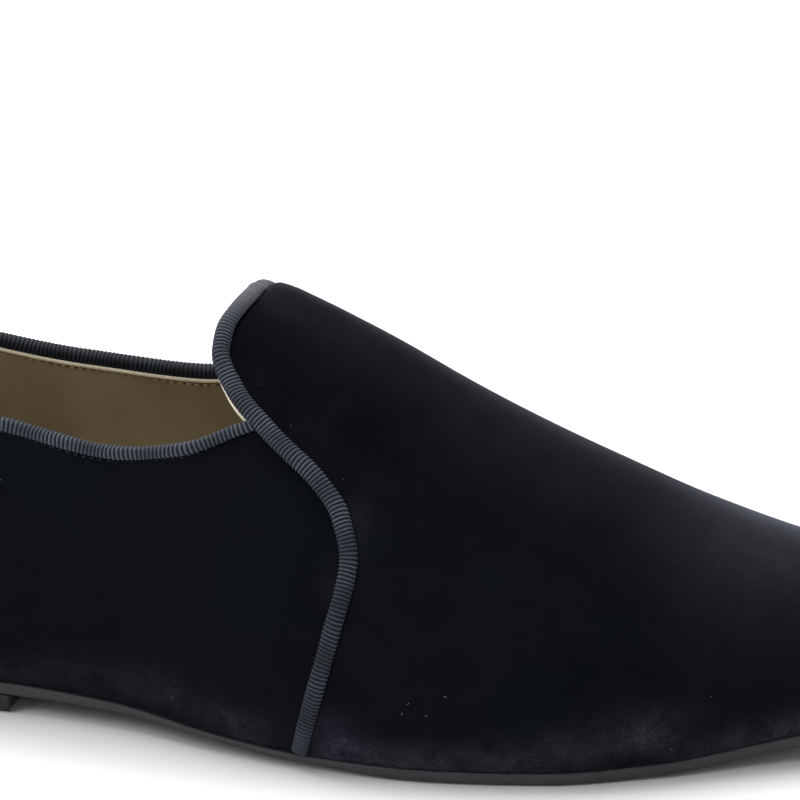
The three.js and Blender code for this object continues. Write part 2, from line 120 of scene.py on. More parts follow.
# Sections of the last at shares of its length, and its lines as shares of the driving sizes
SECTION_COLUMNS = (
    "at", "middle", "lateral", "medial", "over_lateral", "over_medial", "belly", "ridge", "shift",
    "lift", "spring", "edge",
)
SECTIONS = np.array([
    (0.00, 0.00, 0.340, 0.338, 0.12, 0.12, 0.85, 1.195, 0.0, 1.00, 0.00, 1.00),
    (0.13, 0.00, 0.343, 0.338, 0.18, 0.21, 0.90, 1.207, 0.0, 0.81, 0.00, 1.00),
    (0.25, 0.00, 0.346, 0.326, 0.30, 0.52, 0.95, 1.195, 0.2, 0.56, 0.00, 1.00),
    (0.34, 0.00, 0.383, 0.298, 0.45, 0.91, 1.00, 1.122, 0.4, 0.43, 0.00, 0.72),
    (0.435, 0.00, 0.478, 0.305, 0.45, 1.00, 0.95, 0.998, 0.6, 0.17, 0.00, 0.45),
    (0.51, 0.02, 0.536, 0.357, 0.30, 0.67, 0.85, 0.898, 0.8, 0.05, 0.00, 0.50),
    (0.60, 0.09, 0.560, 0.433, 0.18, 0.30, 0.70, 0.744, 1.0, 0.00, 0.00, 0.90),
    (0.70, 0.24, 0.530, 0.460, 0.14, 0.15, 0.60, 0.598, 1.0, 0.00, 0.00, 1.00),
    (0.78, 0.44, 0.448, 0.417, 0.11, 0.12, 0.55, 0.500, 0.8, 0.00, 0.05, 1.00),
    (0.86, 0.64, 0.332, 0.350, 0.08, 0.08, 0.50, 0.430, 0.5, 0.00, 0.28, 1.00),
    (0.935, 0.84, 0.272, 0.302, 0.06, 0.06, 0.48, 0.387, 0.2, 0.00, 0.62, 1.00),
    (1.00, 1.00, 0.246, 0.268, 0.06, 0.06, 0.45, 0.366, 0.0, 0.00, 1.00, 1.00),
])
TOPLINE_COLUMNS = ("at", "lateral", "medial")
TOPLINE = np.array([
    (0.00, 1.000, 1.000), (0.06, 0.992, 0.986), (0.13, 0.963, 0.938), (0.25, 0.904, 0.868),
    (0.345, 0.863, 0.848), (0.405, 0.898, 0.882), (0.445, 0.958, 0.948), (0.50, 1.030, 1.030),
])
VAMP_EDGE_COLUMNS = ("up", "at")
VAMP_EDGE = np.array([
    (0.035, 0.508), (0.17, 0.521), (0.34, 0.536), (0.50, 0.546), (0.60, 0.535), (0.67, 0.514),
    (0.756, 0.474), (0.84, 0.439), (0.915, 0.421), (0.95, 0.420), (1.00, 0.428),
])


class Side(Enum):
    """The two sides of the shoe, and the sign of the turn on each."""

    LATERAL = 1
    MEDIAL = -1

    @property
    def column(self) -> str:
        """Name of this side's column in the tables."""
        return self.name.lower()


def along(rows: np.ndarray, columns: tuple[str, ...], column: str, at: np.ndarray) -> np.ndarray:
    """Smooth curve through a table, never swinging past its rows.

    Each stretch is a cubic. Its end slopes are the harmonic mean of the two chords that meet there,
    or zero at a high or low row.

    Args:
        rows: the table, with its key in the first column.
        columns: the names of its columns.
        column: the column wanted.
        at: keys to read it at.

    Returns:
        The column's value at each key.
    """
    keys, values = rows[:, 0], rows[:, columns.index(column)]
    chords = np.diff(values) / np.diff(keys)
    before, after = chords[:-1], chords[1:]
    turned = before * after <= 0
    total = np.where(turned, 1.0, before + after)
    inner = np.where(turned, 0.0, 2 * before * after / total)
    slopes = np.concatenate([chords[:1], inner, chords[-1:]])
    k = np.clip(np.searchsorted(keys, at, side="right") - 1, 0, len(keys) - 2)
    span = keys[k + 1] - keys[k]
    s = np.clip((at - keys[k]) / span, 0.0, 1.0)
    return (
        (1 + 2 * s) * (1 - s) ** 2 * values[k]
        + s * s * (3 - 2 * s) * values[k + 1]
        + s * (1 - s) ** 2 * span * slopes[k]
        + s * s * (s - 1) * span * slopes[k + 1]
    )


def end_round(x: np.ndarray, start: float, end: float) -> np.ndarray:
    """Falls from 1 at start to 0 at end: one minus the share to a power, to the inverse power."""
    share = np.clip((x - start) / (end - start), 0.0, 1.0)
    return (1 - share**END_POWER) ** (1 / END_POWER)


def station(turn: np.ndarray) -> np.ndarray:
    """Distance from the back of the sole at a turn round the plan."""
    return LENGTH * (1 - np.cos(turn)) / 2


def turn_at(x: np.ndarray | float) -> np.ndarray:
    """Turn round the plan, without its sign, at a distance from the back of the sole."""
    return np.arccos(1 - 2 * x / LENGTH)


def both_sides(half: np.ndarray) -> np.ndarray:
    """Girths up the lateral side and down the medial one, from girths that end on the ridge."""
    return np.concatenate([half, 2.0 - half[-2::-1]])


def smooth(value: np.ndarray, low: float, high: float) -> np.ndarray:
    """Rises from 0 at low to 1 at high, flat at both ends."""
    s = np.clip((value - low) / (high - low), 0.0, 1.0)
    return s * s * (3 - 2 * s)


def unit(vectors: np.ndarray) -> np.ndarray:
    """The same directions at length one."""
    return vectors / np.maximum(np.linalg.norm(vectors, axis=-1, keepdims=True), 1e-12)


def resample(path: np.ndarray, spacing: float) -> tuple[np.ndarray, np.ndarray]:
    """Shares of a path's rows at equal distances along it.

    Args:
        path: points in order, one a row.
        spacing: distance wanted between two, about.

    Returns:
        Row numbers with fractions, and the distance from the start of each.
    """
    reach = np.concatenate([[0.0], np.cumsum(np.linalg.norm(np.diff(path, axis=0), axis=1))])
    distance = np.linspace(0.0, reach[-1], int(round(reach[-1] / spacing)) + 1)
    return np.interp(distance, reach, np.arange(len(path))), distance


def curve_through(points: np.ndarray, count: int) -> np.ndarray:
    """A smooth curve through control points, each stretch a cubic whose end slopes are half the
    step between the points on either side.

    Args:
        points: control points along the second last axis.
        count: how many points to give.

    Returns:
        The curve's points along the second last axis.
    """
    size = points.shape[-2]
    at = np.linspace(0.0, size - 1.0, count)
    k = np.minimum(at.astype(int), size - 2)
    s = (at - k)[:, None]
    before = points[..., np.maximum(k - 1, 0), :]
    start = points[..., k, :]
    end = points[..., k + 1, :]
    after = points[..., np.minimum(k + 2, size - 1), :]
    return 0.5 * (
        2 * start
        + (end - before) * s
        + (2 * before - 5 * start + 4 * end - after) * s**2
        + (3 * start - before - 3 * end + after) * s**3
    )


class Last:
    """The shoe's last: the outside of the quarters, from which every other surface is set off."""

    def section(self, x: np.ndarray, column: str) -> np.ndarray:
        """A section column at a station."""
        return along(SECTIONS, SECTION_COLUMNS, column, x / LENGTH)

    def sides(self, x: np.ndarray, turn: np.ndarray, lateral: str, medial: str) -> np.ndarray:
        """One of two section columns, by the side that the turn is on."""
        return np.where(np.sin(turn) >= 0, self.section(x, lateral), self.section(x, medial))

    def rounded_ends(self, x: np.ndarray) -> np.ndarray:
        """Share of the full width that the round heel and toe leave at a station."""
        return end_round(x, HEEL_ROUND, 0.0) * end_round(x, LENGTH - TOE_ROUND, LENGTH)

    def sole_top(self, x: np.ndarray) -> np.ndarray:
        """Height of the sole's top: its thickness, the heel's rise and the toe's spring."""
        return SOLE + HEEL_RISE * self.section(x, "lift") + TOE_SPRING * self.section(x, "spring")

    def feather(self, x: np.ndarray) -> np.ndarray:
        """Height of the line where the upper meets the sole."""
        return self.sole_top(x) + GAP

    def nose(self, x: np.ndarray) -> np.ndarray:
        """Share of its height that the rounded nose leaves the upper."""
        return NOSE_WALL + (1 - NOSE_WALL) * end_round(x, LENGTH - NOSE_LENGTH, LENGTH)

    def rise(self, x: np.ndarray) -> np.ndarray:
        """Height of the ridge over the feather line."""
        return (INSTEP_HEIGHT * self.section(x, "ridge") - self.feather(x)) * self.nose(x)

    def droop(self, x: np.ndarray, turn: np.ndarray, girth: np.ndarray) -> np.ndarray:
        """How far the tongue's tip rounds down: on the ridge, and past it on the medial side."""
        over = np.where(np.sin(turn) >= 0, smooth(girth, *DROOP_LATERAL), smooth(girth, *DROOP_MEDIAL))
        return TONGUE_DROOP * over * smooth(-x, *DROOP_FADE)

    def middle(self, x: np.ndarray) -> np.ndarray:
        """The plan's middle line, which swings inwards at the toe."""
        return TOE_SWING * self.section(x, "middle")

    def outline(self, turn: np.ndarray) -> np.ndarray:
        """The sole's outline in plan: a half width either side of the middle line."""
        x = station(turn)
        half = BALL_WIDTH * self.rounded_ends(x) * self.sides(x, turn, "lateral", "medial")
        return np.stack([x, self.middle(x) - np.where(np.sin(turn) >= 0, half, -half)], axis=-1)

    def inward(self, turn: np.ndarray) -> np.ndarray:
        """The outline's inward direction, a quarter turn from its run."""
        step = 0.002
        ahead = unit(self.outline(turn + step) - self.outline(turn - step))
        return np.stack([-ahead[..., 1], ahead[..., 0]], axis=-1)

    def inset(self, turn: np.ndarray, inset: np.ndarray, z: np.ndarray) -> np.ndarray:
        """A point inside the outline by a distance, at a height."""
        plan = self.outline(turn) + self.inward(turn) * np.asarray(inset)[..., None]
        return np.concatenate([plan, np.broadcast_to(z, plan.shape[:-1])[..., None]], axis=-1)

    def point(self, turn: np.ndarray, girth: np.ndarray) -> np.ndarray:
        """The last's surface.

        Below the widest line the wall turns under on a round corner. Above it the half width shrinks
        and the height grows as a superellipse that closes on the ridge. Past girth 1 it comes down
        the other side.

        Args:
            turn: turn round the plan, positive on the lateral side.
            girth: share of the way from the sole to the ridge.

        Returns:
            Points in millimetres.
        """
        turn, girth = np.broadcast_arrays(np.asarray(turn, float), np.asarray(girth, float))
        turn, girth = np.where(girth > 1, -turn, turn), np.where(girth > 1, 2 - girth, girth)
        x = station(turn)
        foot = self.feather(x)
        rise = self.rise(x)
        belly = BELLY_HEIGHT * self.section(x, "belly") * self.nose(x)
        swell = OVERHANG * self.sides(x, turn, "over_lateral", "over_medial")
        ridge_y = self.middle(x) + RIDGE_SHIFT * self.section(x, "shift") * self.rounded_ends(x)
        low = girth < LOW_SHARE
        lean = TURN_UNDER + (np.pi / 2 - TURN_UNDER) * np.clip(girth / LOW_SHARE, 0.0, 1.0)
        corner = (swell + LEDGE) * (1 - np.sin(lean)) / (1 - np.sin(TURN_UNDER))
        arch = np.clip((girth - LOW_SHARE) / (1 - LOW_SHARE), 0.0, 1.0) * np.pi / 2
        spread = np.where(low, 1.0, np.maximum(np.cos(arch), 0.0) ** (2 / ARCH_POWER))
        z = foot - self.droop(x, turn, girth) + np.where(
            low,
            belly * (1 - np.cos(lean) / np.cos(TURN_UNDER)),
            belly + (rise - belly) * np.sin(arch) ** (2 / ARCH_POWER),
        )
        widest = self.inset(turn, -swell + np.where(low, corner, 0.0), z)
        up = np.maximum((z - foot - belly) / (BACK_HEIGHT - foot - belly), 0.0)
        back = BACK_LEAN * up**LEAN_POWER * np.maximum(1 - x / LEAN_REACH, 0.0) ** 2
        return np.stack(
            [
                x + (widest[..., 0] - x) * spread + back,
                ridge_y + (widest[..., 1] - ridge_y) * spread,
                z,
            ],
            axis=-1,
        )

    def normal(self, turn: np.ndarray, girth: np.ndarray) -> np.ndarray:
        """Outward direction: the cross product of small steps round and up."""
        step = 0.002
        ahead = self.point(turn + step, girth) - self.point(turn - step, girth)
        up = self.point(turn, girth + step) - self.point(turn, np.maximum(girth - step, 0.0))
        return unit(np.cross(ahead, up))

    def ahead(self, turn: np.ndarray, girth: np.ndarray) -> np.ndarray:
        """Direction round the shoe over the surface."""
        step = 0.01
        return unit(self.point(turn + step, girth) - self.point(turn - step, girth))

    def offset(self, turn: np.ndarray, girth: np.ndarray, out: np.ndarray | float) -> np.ndarray:
        """The surface moved out along its normal."""
        return self.point(turn, girth) + self.normal(turn, girth) * np.asarray(out)[..., None]

    def topline_girth(self, side: Side, turn: np.ndarray) -> np.ndarray:
        """Girth at which the wall reaches the top line, by halving."""
        height = BACK_HEIGHT * along(TOPLINE, TOPLINE_COLUMNS, side.column, station(turn) / LENGTH)
        low, high = np.zeros_like(turn), np.ones_like(turn)
        for _ in range(HALVINGS):
            half = (low + high) / 2
            below = self.point(turn, half)[..., 2] < height
            low, high = np.where(below, half, low), np.where(below, high, half)
        return (low + high) / 2

    def edge_turn(self, side: Side, girth: np.ndarray) -> np.ndarray:
        """Turn, without its sign, at which the vamp's edge crosses a girth, by halving."""
        low, high = (np.full_like(girth, turn_at(share * LENGTH)) for share in EDGE_ZONE)
        for _ in range(HALVINGS):
            half = (low + high) / 2
            p = self.point(side.value * half, girth)
            height = p[..., 2] + self.droop(station(half), side.value * half, girth)
            edge = LENGTH * along(VAMP_EDGE, VAMP_EDGE_COLUMNS, "at", height / INSTEP_HEIGHT)
            behind = p[..., 0] < edge
            low, high = np.where(behind, half, low), np.where(behind, high, half)
        return (low + high) / 2

    def edge_over(self, girth: np.ndarray) -> np.ndarray:
        """The same for girths that go on past 1, over the ridge and down the medial side."""
        return np.where(
            girth <= 1.0,
            self.edge_turn(Side.LATERAL, np.minimum(girth, 1.0)),
            self.edge_turn(Side.MEDIAL, np.minimum(2.0 - girth, 1.0)),
        )

    def quarter_grid(
        self, share: np.ndarray, up: np.ndarray, beyond: float = 0.0
    ) -> tuple[np.ndarray, np.ndarray]:
        """Turns and girths of a grid over the quarters that ends on their own lines.

        A row keeps its share of the way up to the top line, and a column its share of the way to
        the vamp's edge.

        Args:
            share: share of the way round, from -1 at the medial vamp edge to 1 at the lateral one.
            up: share of the way up, ending at 1.
            beyond: turn by which the grid runs on under the vamp.

        Returns:
            Turn and girth at each place.
        """
        turn = np.empty((len(up), len(share)))
        girth = np.empty_like(turn)
        for side in Side:
            mine = share >= 0 if side is Side.LATERAL else share < 0
            front = self.edge_turn(side, up * CORNERS[side]) + beyond
            turn[:, mine] = front[:, None] * share[mine]
            girth[:, mine] = up[:, None] * self.topline_girth(side, front[-1] * share[mine])
        return turn, girth

    def corner(self, side: Side) -> float:
        """Girth of the corner where the top line runs under the vamp's edge."""
        girths = np.linspace(0.4, 0.9, 1001)
        gap = self.topline_girth(side, side.value * self.edge_turn(side, girths)) - girths
        return float(np.interp(0.0, -gap, girths))


LAST = Last()
CORNERS = {side: LAST.corner(side) for side in Side}
CORNER_TURNS = {side: LAST.edge_turn(side, np.array([CORNERS[side]]))[0] for side in Side}


@dataclass(frozen=True)
class Crease:
    """A soft trough, or a ridge where depth is above zero, between two places on the velvet."""

    start: tuple[float, float, float]
    end: tuple[float, float, float]
    width: float
    depth: float

    def height(self, points: np.ndarray) -> np.ndarray:
        """Depth times a bell across the line and a round window along it."""
        start, run = np.array(self.start), np.array(self.end) - np.array(self.start)
        share = np.clip(((points - start) @ run) / (run @ run), 0.0, 1.0)
        away = np.linalg.norm(points - start - share[..., None] * run, axis=-1)
        window = 0.35 + 0.65 * np.sin(np.pi * share)
        return self.depth * np.exp(-((away / self.width) ** 2)) * window


@dataclass(frozen=True)
class Brushed:
    """A patch of velvet whose pile lies the other way and catches the light."""

    x: float
    up: float
    long: float
    high: float
    strength: float
    violet: float

    def cover(self, x: np.ndarray, up: np.ndarray) -> np.ndarray:
        """Strength times a bell in station and in height over the sole."""
        away = ((x - self.x) / self.long) ** 2 + ((up - self.up) / self.high) ** 2
        return self.strength * np.exp(-away)


LATERAL_BRUSHED = (
    Brushed(132.0, 2.3, 4.8, 5.2, 0.98, 0.8),
    Brushed(142.0, 1.0, 9.0, 3.5, 0.90, 0.35),
    Brushed(160.0, 1.5, 13.0, 3.5, 0.85, 0.30),
    Brushed(176.0, 4.5, 8.0, 4.5, 0.6, 0.25),
    Brushed(190.0, 7.0, 6.5, 4.2, 0.90, 0.30),
    Brushed(206.0, 1.0, 12.0, 3.5, 0.7, 0.30),
    Brushed(228.0, 1.5, 14.0, 4.0, 0.95, 0.30),
    Brushed(112.0, 2.5, 8.0, 4.5, 0.7, 0.30),
    Brushed(94.0, 5.5, 11.0, 5.0, 0.42, 0.20),
    Brushed(76.0, 3.5, 9.0, 4.0, 0.34, 0.25),
    Brushed(58.0, 2.0, 9.0, 3.5, 0.45, 0.30),
    Brushed(34.0, 4.0, 14.0, 4.5, 0.5, 0.25),
    Brushed(12.0, 5.0, 12.0, 6.0, 0.5, 0.25),
    Brushed(135.0, 44.0, 2.4, 6.0, 0.28, 0.2),
    Brushed(131.5, 34.0, 2.2, 4.0, 0.28, 0.2),
)
MEDIAL_BRUSHED = (
    Brushed(206.0, 6.0, 16.0, 5.5, 0.75, 0.30),
    Brushed(176.0, 3.5, 14.0, 4.5, 0.6, 0.30),
    Brushed(140.0, 4.0, 14.0, 5.0, 0.6, 0.30),
    Brushed(100.0, 6.0, 12.0, 7.0, 0.55, 0.25),
    Brushed(66.0, 3.0, 14.0, 5.0, 0.6, 0.25),
    Brushed(26.0, 5.0, 14.0, 5.5, 0.5, 0.25),
    Brushed(128.0, 26.0, 4.0, 8.0, 0.3, 0.3),
)
# Painted sheen along the ridge, by station x: its strength, its reach below the ridge, its violet share
RIDGE_SHEEN_COLUMNS = ("x", "strength", "reach", "violet")
RIDGE_SHEEN = np.array([
    (100.0, 0.09, 1.2, 0.8),
    (136.0, 0.05, 1.5, 0.6),
    (158.0, 0.07, 4.0, 0.5),
    (179.0, 0.07, 3.5, 0.4),
    (190.0, 0.16, 5.0, 0.3),
    (201.0, 0.30, 7.0, 0.2),
    (210.0, 0.34, 6.6, 0.1),
    (220.0, 0.34, 5.6, 0.1),
    (240.0, 0.36, 6.0, 0.1),
    (246.0, 0.36, 6.0, 0.1),
])


def pile(points: np.ndarray) -> dict[str, np.ndarray]:
    """How the pile lies at each point, and the painted sheen and painted shade laid over it.

    Each side sums its own brushed patches. A painted sheen runs along the ridge and fades with the
    drop below it, by one over e for each reach. Violet is their own tones, weighted by their cover.

    Args:
        points: places on the velvet, in millimetres.

    Returns:
        Numbers from 0 to 1 a point: the brushed share in tufts, the painted sheen along the ridge,
        evenly, the violet share, and painted shade near the ridge.
    """
    x = np.clip(points[..., 0], 0.0, LENGTH)
    up = points[..., 2] - LAST.feather(x)
    lateral = points[..., 1] < LAST.middle(x)
    strength, reach, tone = (
        along(RIDGE_SHEEN, RIDGE_SHEEN_COLUMNS, column, x) for column in RIDGE_SHEEN_COLUMNS[1:]
    )
    # Painted sheen: lighter on the ridge and broad over the toe, fading with the drop below the ridge
    painted_sheen = strength * np.exp(-np.maximum(LAST.rise(x) - up, 0.0) / reach) * smooth(x, 92.0, 104.0)
    brushed = np.zeros(x.shape)
    violet = painted_sheen * tone
    for mask, patches in ((lateral, LATERAL_BRUSHED), (~lateral, MEDIAL_BRUSHED)):
        for patch in patches:
            cover = patch.cover(x, up) * mask
            brushed += cover
            violet += cover * patch.violet
    return {
        "brushed": np.clip(brushed, 0.0, 1.0),
        "painted_sheen": painted_sheen,
        "violet": np.clip(violet / (brushed + painted_sheen + 1e-6), 0.0, 1.0),
        # Painted shade over the top of the rise, up to the ridge
        "ridge_shade": smooth(up / LAST.rise(x), 0.60, 0.95),
    }


def in_row_frame(points: np.ndarray) -> list[list[float]]:
    """Points of the last, in metres from the middle of the heel's rest face."""
    return ((points.reshape(-1, 3) + (BACK_OF_SOLE, 0.0, 0.0)) * MM).tolist()


def placed(name: str, mesh: bpy.types.Mesh) -> bpy.types.Object:
    """Links a mesh to the scene as a smooth object that rides on the root body."""
    mesh.shade_smooth()
    mesh.update()
    obj = bpy.data.objects.new(name, mesh)
    bpy.context.scene.collection.objects.link(obj)
    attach(obj, "root")
    return obj


def grid_index(points: np.ndarray) -> np.ndarray:
    """A vertex number for each place of a grid of points."""
    rows, columns = points.shape[:2]
    return np.arange(rows * columns).reshape(rows, columns)


def joined_at_toe(points: np.ndarray) -> tuple[np.ndarray, np.ndarray]:
    """A grid's points and index, with both sides of its last column on shared vertices."""
    points[:, -1] = (points[:, -1] + points[::-1, -1]) / 2
    index = grid_index(points)
    half = len(points) // 2
    index[half + 1:, -1] = index[:half, -1][::-1]
    return points, index


def to_object(
    name: str,
    points: np.ndarray,
    index: np.ndarray | None = None,
    flip: bool = False,
    uv: np.ndarray | None = None,
    values: dict[str, np.ndarray] | None = None,
) -> bpy.types.Object:
    """A grid of points as a smooth mesh object.

    Neighbouring rows and columns make quads. Where the index grid names one vertex twice, a quad
    shrinks to a triangle or goes, so that seams and poles are closed.

    Args:
        name: the object's name.
        points: grid of points in millimetres, rows by columns by three.
        index: number of the vertex that each place of the grid uses, or its own where none.
        flip: turns the faces round.
        uv: lengths over the surface at each point, in millimetres.
        values: named numbers at each point.

    Returns:
        The object, linked to the scene, riding on the root body.
    """
    if index is None:
        index = grid_index(points)
    a, b = index[:-1, :-1].ravel(), index[:-1, 1:].ravel()
    c, d = index[1:, 1:].ravel(), index[1:, :-1].ravel()
    quads = np.stack([a, b, c, d] if not flip else [d, c, b, a], axis=1)
    used, compact = np.unique(quads, return_inverse=True)
    quads = compact.reshape(quads.shape)
    doubled = quads == np.roll(quads, -1, axis=1)
    whole = ~doubled.any(axis=1)
    single = doubled.sum(axis=1) == 1
    triangles = quads[single][~doubled[single]].reshape(-1, 3)
    faces = quads[whole].tolist() + triangles.tolist()
    mesh = bpy.data.meshes.new(name)
    mesh.from_pydata(in_row_frame(points.reshape(-1, 3)[used]), [], faces)
    corners = np.empty(len(mesh.loops), dtype=np.int32)
    mesh.loops.foreach_get("vertex_index", corners)
    if uv is not None:
        layer = mesh.uv_layers.new(name="Lengths")
        layer.data.foreach_set("uv", (uv.reshape(-1, 2)[used][corners] * UV_SCALE).ravel())
    for key, value in (values or {}).items():
        store = mesh.attributes.new(key, "FLOAT", "POINT")
        store.data.foreach_set("value", np.ascontiguousarray(value.ravel()[used], dtype=np.float32))
    return placed(name, mesh)


def dress(obj: bpy.types.Object, material: bpy.types.Material) -> bpy.types.Object:
    """Gives a piece its material and logs its face count."""
    obj.data.materials.clear()
    obj.data.materials.append(material)
    LOG.info("%s: %d faces", obj.name, len(obj.data.polygons))
    return obj


def lengths_over(points: np.ndarray) -> np.ndarray:
    """Distances over a grid from its first column and its first row, as a UV map."""
    across = np.linalg.norm(np.diff(points, axis=1), axis=-1)
    up = np.linalg.norm(np.diff(points, axis=0), axis=-1)
    u = np.concatenate([np.zeros((len(points), 1)), np.cumsum(across, axis=1)], axis=1)
    v = np.concatenate([np.zeros((1, points.shape[1])), np.cumsum(up, axis=0)], axis=0)
    return np.stack([u, v], axis=-1)


class Shader:
    """A material being built: its node tree and its principled shader."""

    def __init__(self, name: str, **numbers: object) -> None:
        """Starts a material.

        Args:
            name: the material's name.
            numbers: sockets of the principled shader, with spaces as underscores.
        """
        self.material = bpy.data.materials.new(name)
        self.material.use_nodes = True
        self.tree = self.material.node_tree
        self.surface = self.tree.nodes["Principled BSDF"]
        for key, value in numbers.items():
            self.surface.inputs[key.replace("_", " ")].default_value = value

    def node(
        self, kind: str, settings: dict[str, object] | None = None, **sockets: object
    ) -> bpy.types.Node:
        """Adds a node.

        Args:
            kind: its type, without the ShaderNode in front.
            settings: its own properties.
            sockets: its inputs by name, each a number, a colour or a socket to link.

        Returns:
            The node.
        """
        node = self.tree.nodes.new("ShaderNode" + kind)
        for key, value in (settings or {}).items():
            setattr(node, key, value)
        for key, value in sockets.items():
            self.feed(node.inputs[key.replace("_", " ")], value)
        return node

    def feed(self, socket: bpy.types.NodeSocket, value: object) -> None:
        """Links a socket to an input, or sets the input's own number."""
        if isinstance(value, bpy.types.NodeSocket):
            self.tree.links.new(value, socket)
        else:
            socket.default_value = value

    def maths(self, operation: str, first: object, second: object = 0.0) -> bpy.types.NodeSocket:
        """The result of one sum on two numbers, kept between 0 and 1."""
        node = self.node("Math", {"operation": operation, "use_clamp": True})
        self.feed(node.inputs[0], first)
        self.feed(node.inputs[1], second)
        return node.outputs[0]

    def blend(self, share: object, first: object, second: object) -> bpy.types.NodeSocket:
        """The first colour turning into the second as the share goes from 0 to 1."""
        node = self.node("Mix", {"data_type": "RGBA"})
        self.feed(node.inputs[0], share)
        self.feed(node.inputs[6], first)
        self.feed(node.inputs[7], second)
        return node.outputs[2]

    def spread(
        self, value: object, low: float, high: float, to_low: float = 0.0, to_high: float = 1.0
    ) -> bpy.types.NodeSocket:
        """A number stretched from one range to another, and kept in it."""
        ends = {"From_Min": low, "From_Max": high, "To_Min": to_low, "To_Max": to_high}
        return self.node("MapRange", None, Value=value, **ends).outputs[0]

    def product(self, first: object, second: object) -> bpy.types.NodeSocket:
        """Two numbers multiplied, kept between 0 and 1."""
        return self.maths("MULTIPLY", first, second)

    def attribute(self, name: str) -> bpy.types.NodeSocket:
        """A number stored on the mesh."""
        return self.node("Attribute", {"attribute_name": name}).outputs["Fac"]

    def place(self) -> bpy.types.NodeSocket:
        """The place on the object, in metres."""
        return self.node("TexCoord").outputs["Object"]

    def noise(
        self, where: object, scale: float, detail: float = 3.0, rough: float = 0.55
    ) -> bpy.types.NodeSocket:
        """Cloudy noise, at so many to the metre, or to the unit of the map it is given."""
        node = self.node("TexNoise", None, Vector=where, Scale=scale, Detail=detail, Roughness=rough)
        return node.outputs["Fac"]

    def lengths(self, along_scale: float, across_scale: float, turn: float = 0.0) -> bpy.types.NodeSocket:
        """The map of lengths over the surface, stretched and turned."""
        uv = self.node("UVMap", {"uv_map": "Lengths"}).outputs[0]
        mapping = self.node("Mapping", None, Vector=uv)
        mapping.inputs["Rotation"].default_value = (0.0, 0.0, turn)
        mapping.inputs["Scale"].default_value = (along_scale, across_scale, 1.0)
        return mapping.outputs[0]

    def bump(
        self, height: object, depth: float, strength: float, under: object = None
    ) -> bpy.types.NodeSocket:
        """A bump of that depth in metres, laid over another where one is given."""
        node = self.node("Bump", None, Height=height, Strength=strength, Distance=depth)
        if under is not None:
            self.feed(node.inputs["Normal"], under)
        return node.outputs[0]

    def finished(self, **sockets: object) -> bpy.types.Material:
        """Links what the surface is made of and gives the material."""
        for key, value in sockets.items():
            self.feed(self.surface.inputs[key.replace("_", " ")], value)
        return self.material


@dataclass(frozen=True)
class Velvet:
    """Black silk velvet with a cold sheen, lighter where its pile is brushed over, plus painted sheen and
    shade.
    """

    deep: Colour = (0.0029, 0.0041, 0.0060, 1.0)
    warm: Colour = (0.0034, 0.0038, 0.0056, 1.0)
    # The brushed and violet tones colour the brushed patches and also the painted sheen
    brushed: Colour = (0.053, 0.057, 0.060, 1.0)
    violet: Colour = (0.076, 0.074, 0.116, 1.0)
    # Painted sheen on the rim, where the velvet turns away from view
    rim_sheen: Colour = (0.126, 0.137, 0.168, 1.0)
    # Painted shade near the ridge
    ridge_shade: Colour = (0.0006, 0.0008, 0.0014, 1.0)

    def material(self) -> bpy.types.Material:
        """Two deep tones in clouds, brushed patches broken into tufts, a fine even painted sheen along the
        ridge, a painted sheen on the rim, and painted shade under the ridge.
        """
        shader = Shader(
            "velvet",
            Roughness=0.95,
            Specular_IOR_Level=0.04,
            Sheen_Weight=0.03,
            Sheen_Roughness=0.14,
            Sheen_Tint=(0.66, 0.72, 0.88, 1.0),
        )
        where = shader.place()
        clouds = shader.spread(shader.noise(where, 26.0, 3.0), 0.38, 0.62)
        mottled = shader.spread(shader.noise(where, 190.0, 6.0, 0.68), 0.36, 0.60, 0.30, 1.0)
        strokes = shader.noise(shader.lengths(1500.0, 190.0, -0.3), 1.0, 1.0, 0.5)
        streaks = shader.spread(strokes, 0.38, 0.60, 0.05, 1.0)
        tufts = shader.noise(where, 2300.0, 3.0)
        grain = shader.spread(tufts, 0.3, 0.7, 0.55, 1.0)
        laid = shader.product(shader.product(shader.attribute("brushed"), mottled), streaks)
        # Painted sheen along the ridge and over the toe, a little mottled
        soft = shader.product(shader.attribute("painted_sheen"), shader.spread(mottled, 0.0, 1.0, 0.72, 1.0))
        nap = shader.spread(shader.noise(where, 60.0, 6.0, 0.7), 0.46, 0.72, 0.0, 0.030)
        lit = shader.maths("ADD", shader.product(shader.maths("ADD", laid, soft), grain), nap)
        facing = shader.node("LayerWeight", None, Blend=0.5).outputs["Facing"]
        rim = shader.spread(facing, 0.50, 1.0)
        ground = shader.blend(clouds, self.deep, self.warm)
        # Painted shade near the ridge, darkening the top that the overhead lamp lights most
        ground = shader.blend(shader.product(shader.attribute("ridge_shade"), 0.7), ground, self.ridge_shade)
        tone = shader.blend(shader.attribute("violet"), self.brushed, self.violet)
        cloth = shader.blend(lit, ground, tone)
        # Painted sheen on the rim, stronger where the painted sheen lies along the ridge
        rim_sheen_strength = shader.spread(shader.attribute("painted_sheen"), 0.06, 0.45, 0.32, 1.0)
        cloth = shader.blend(shader.product(shader.product(rim, rim), rim_sheen_strength), cloth, self.rim_sheen)
        fine = shader.bump(tufts, 0.00012, 0.18)
        return shader.finished(Base_Color=cloth, Normal=shader.bump(laid, 0.0003, 0.35, fine))


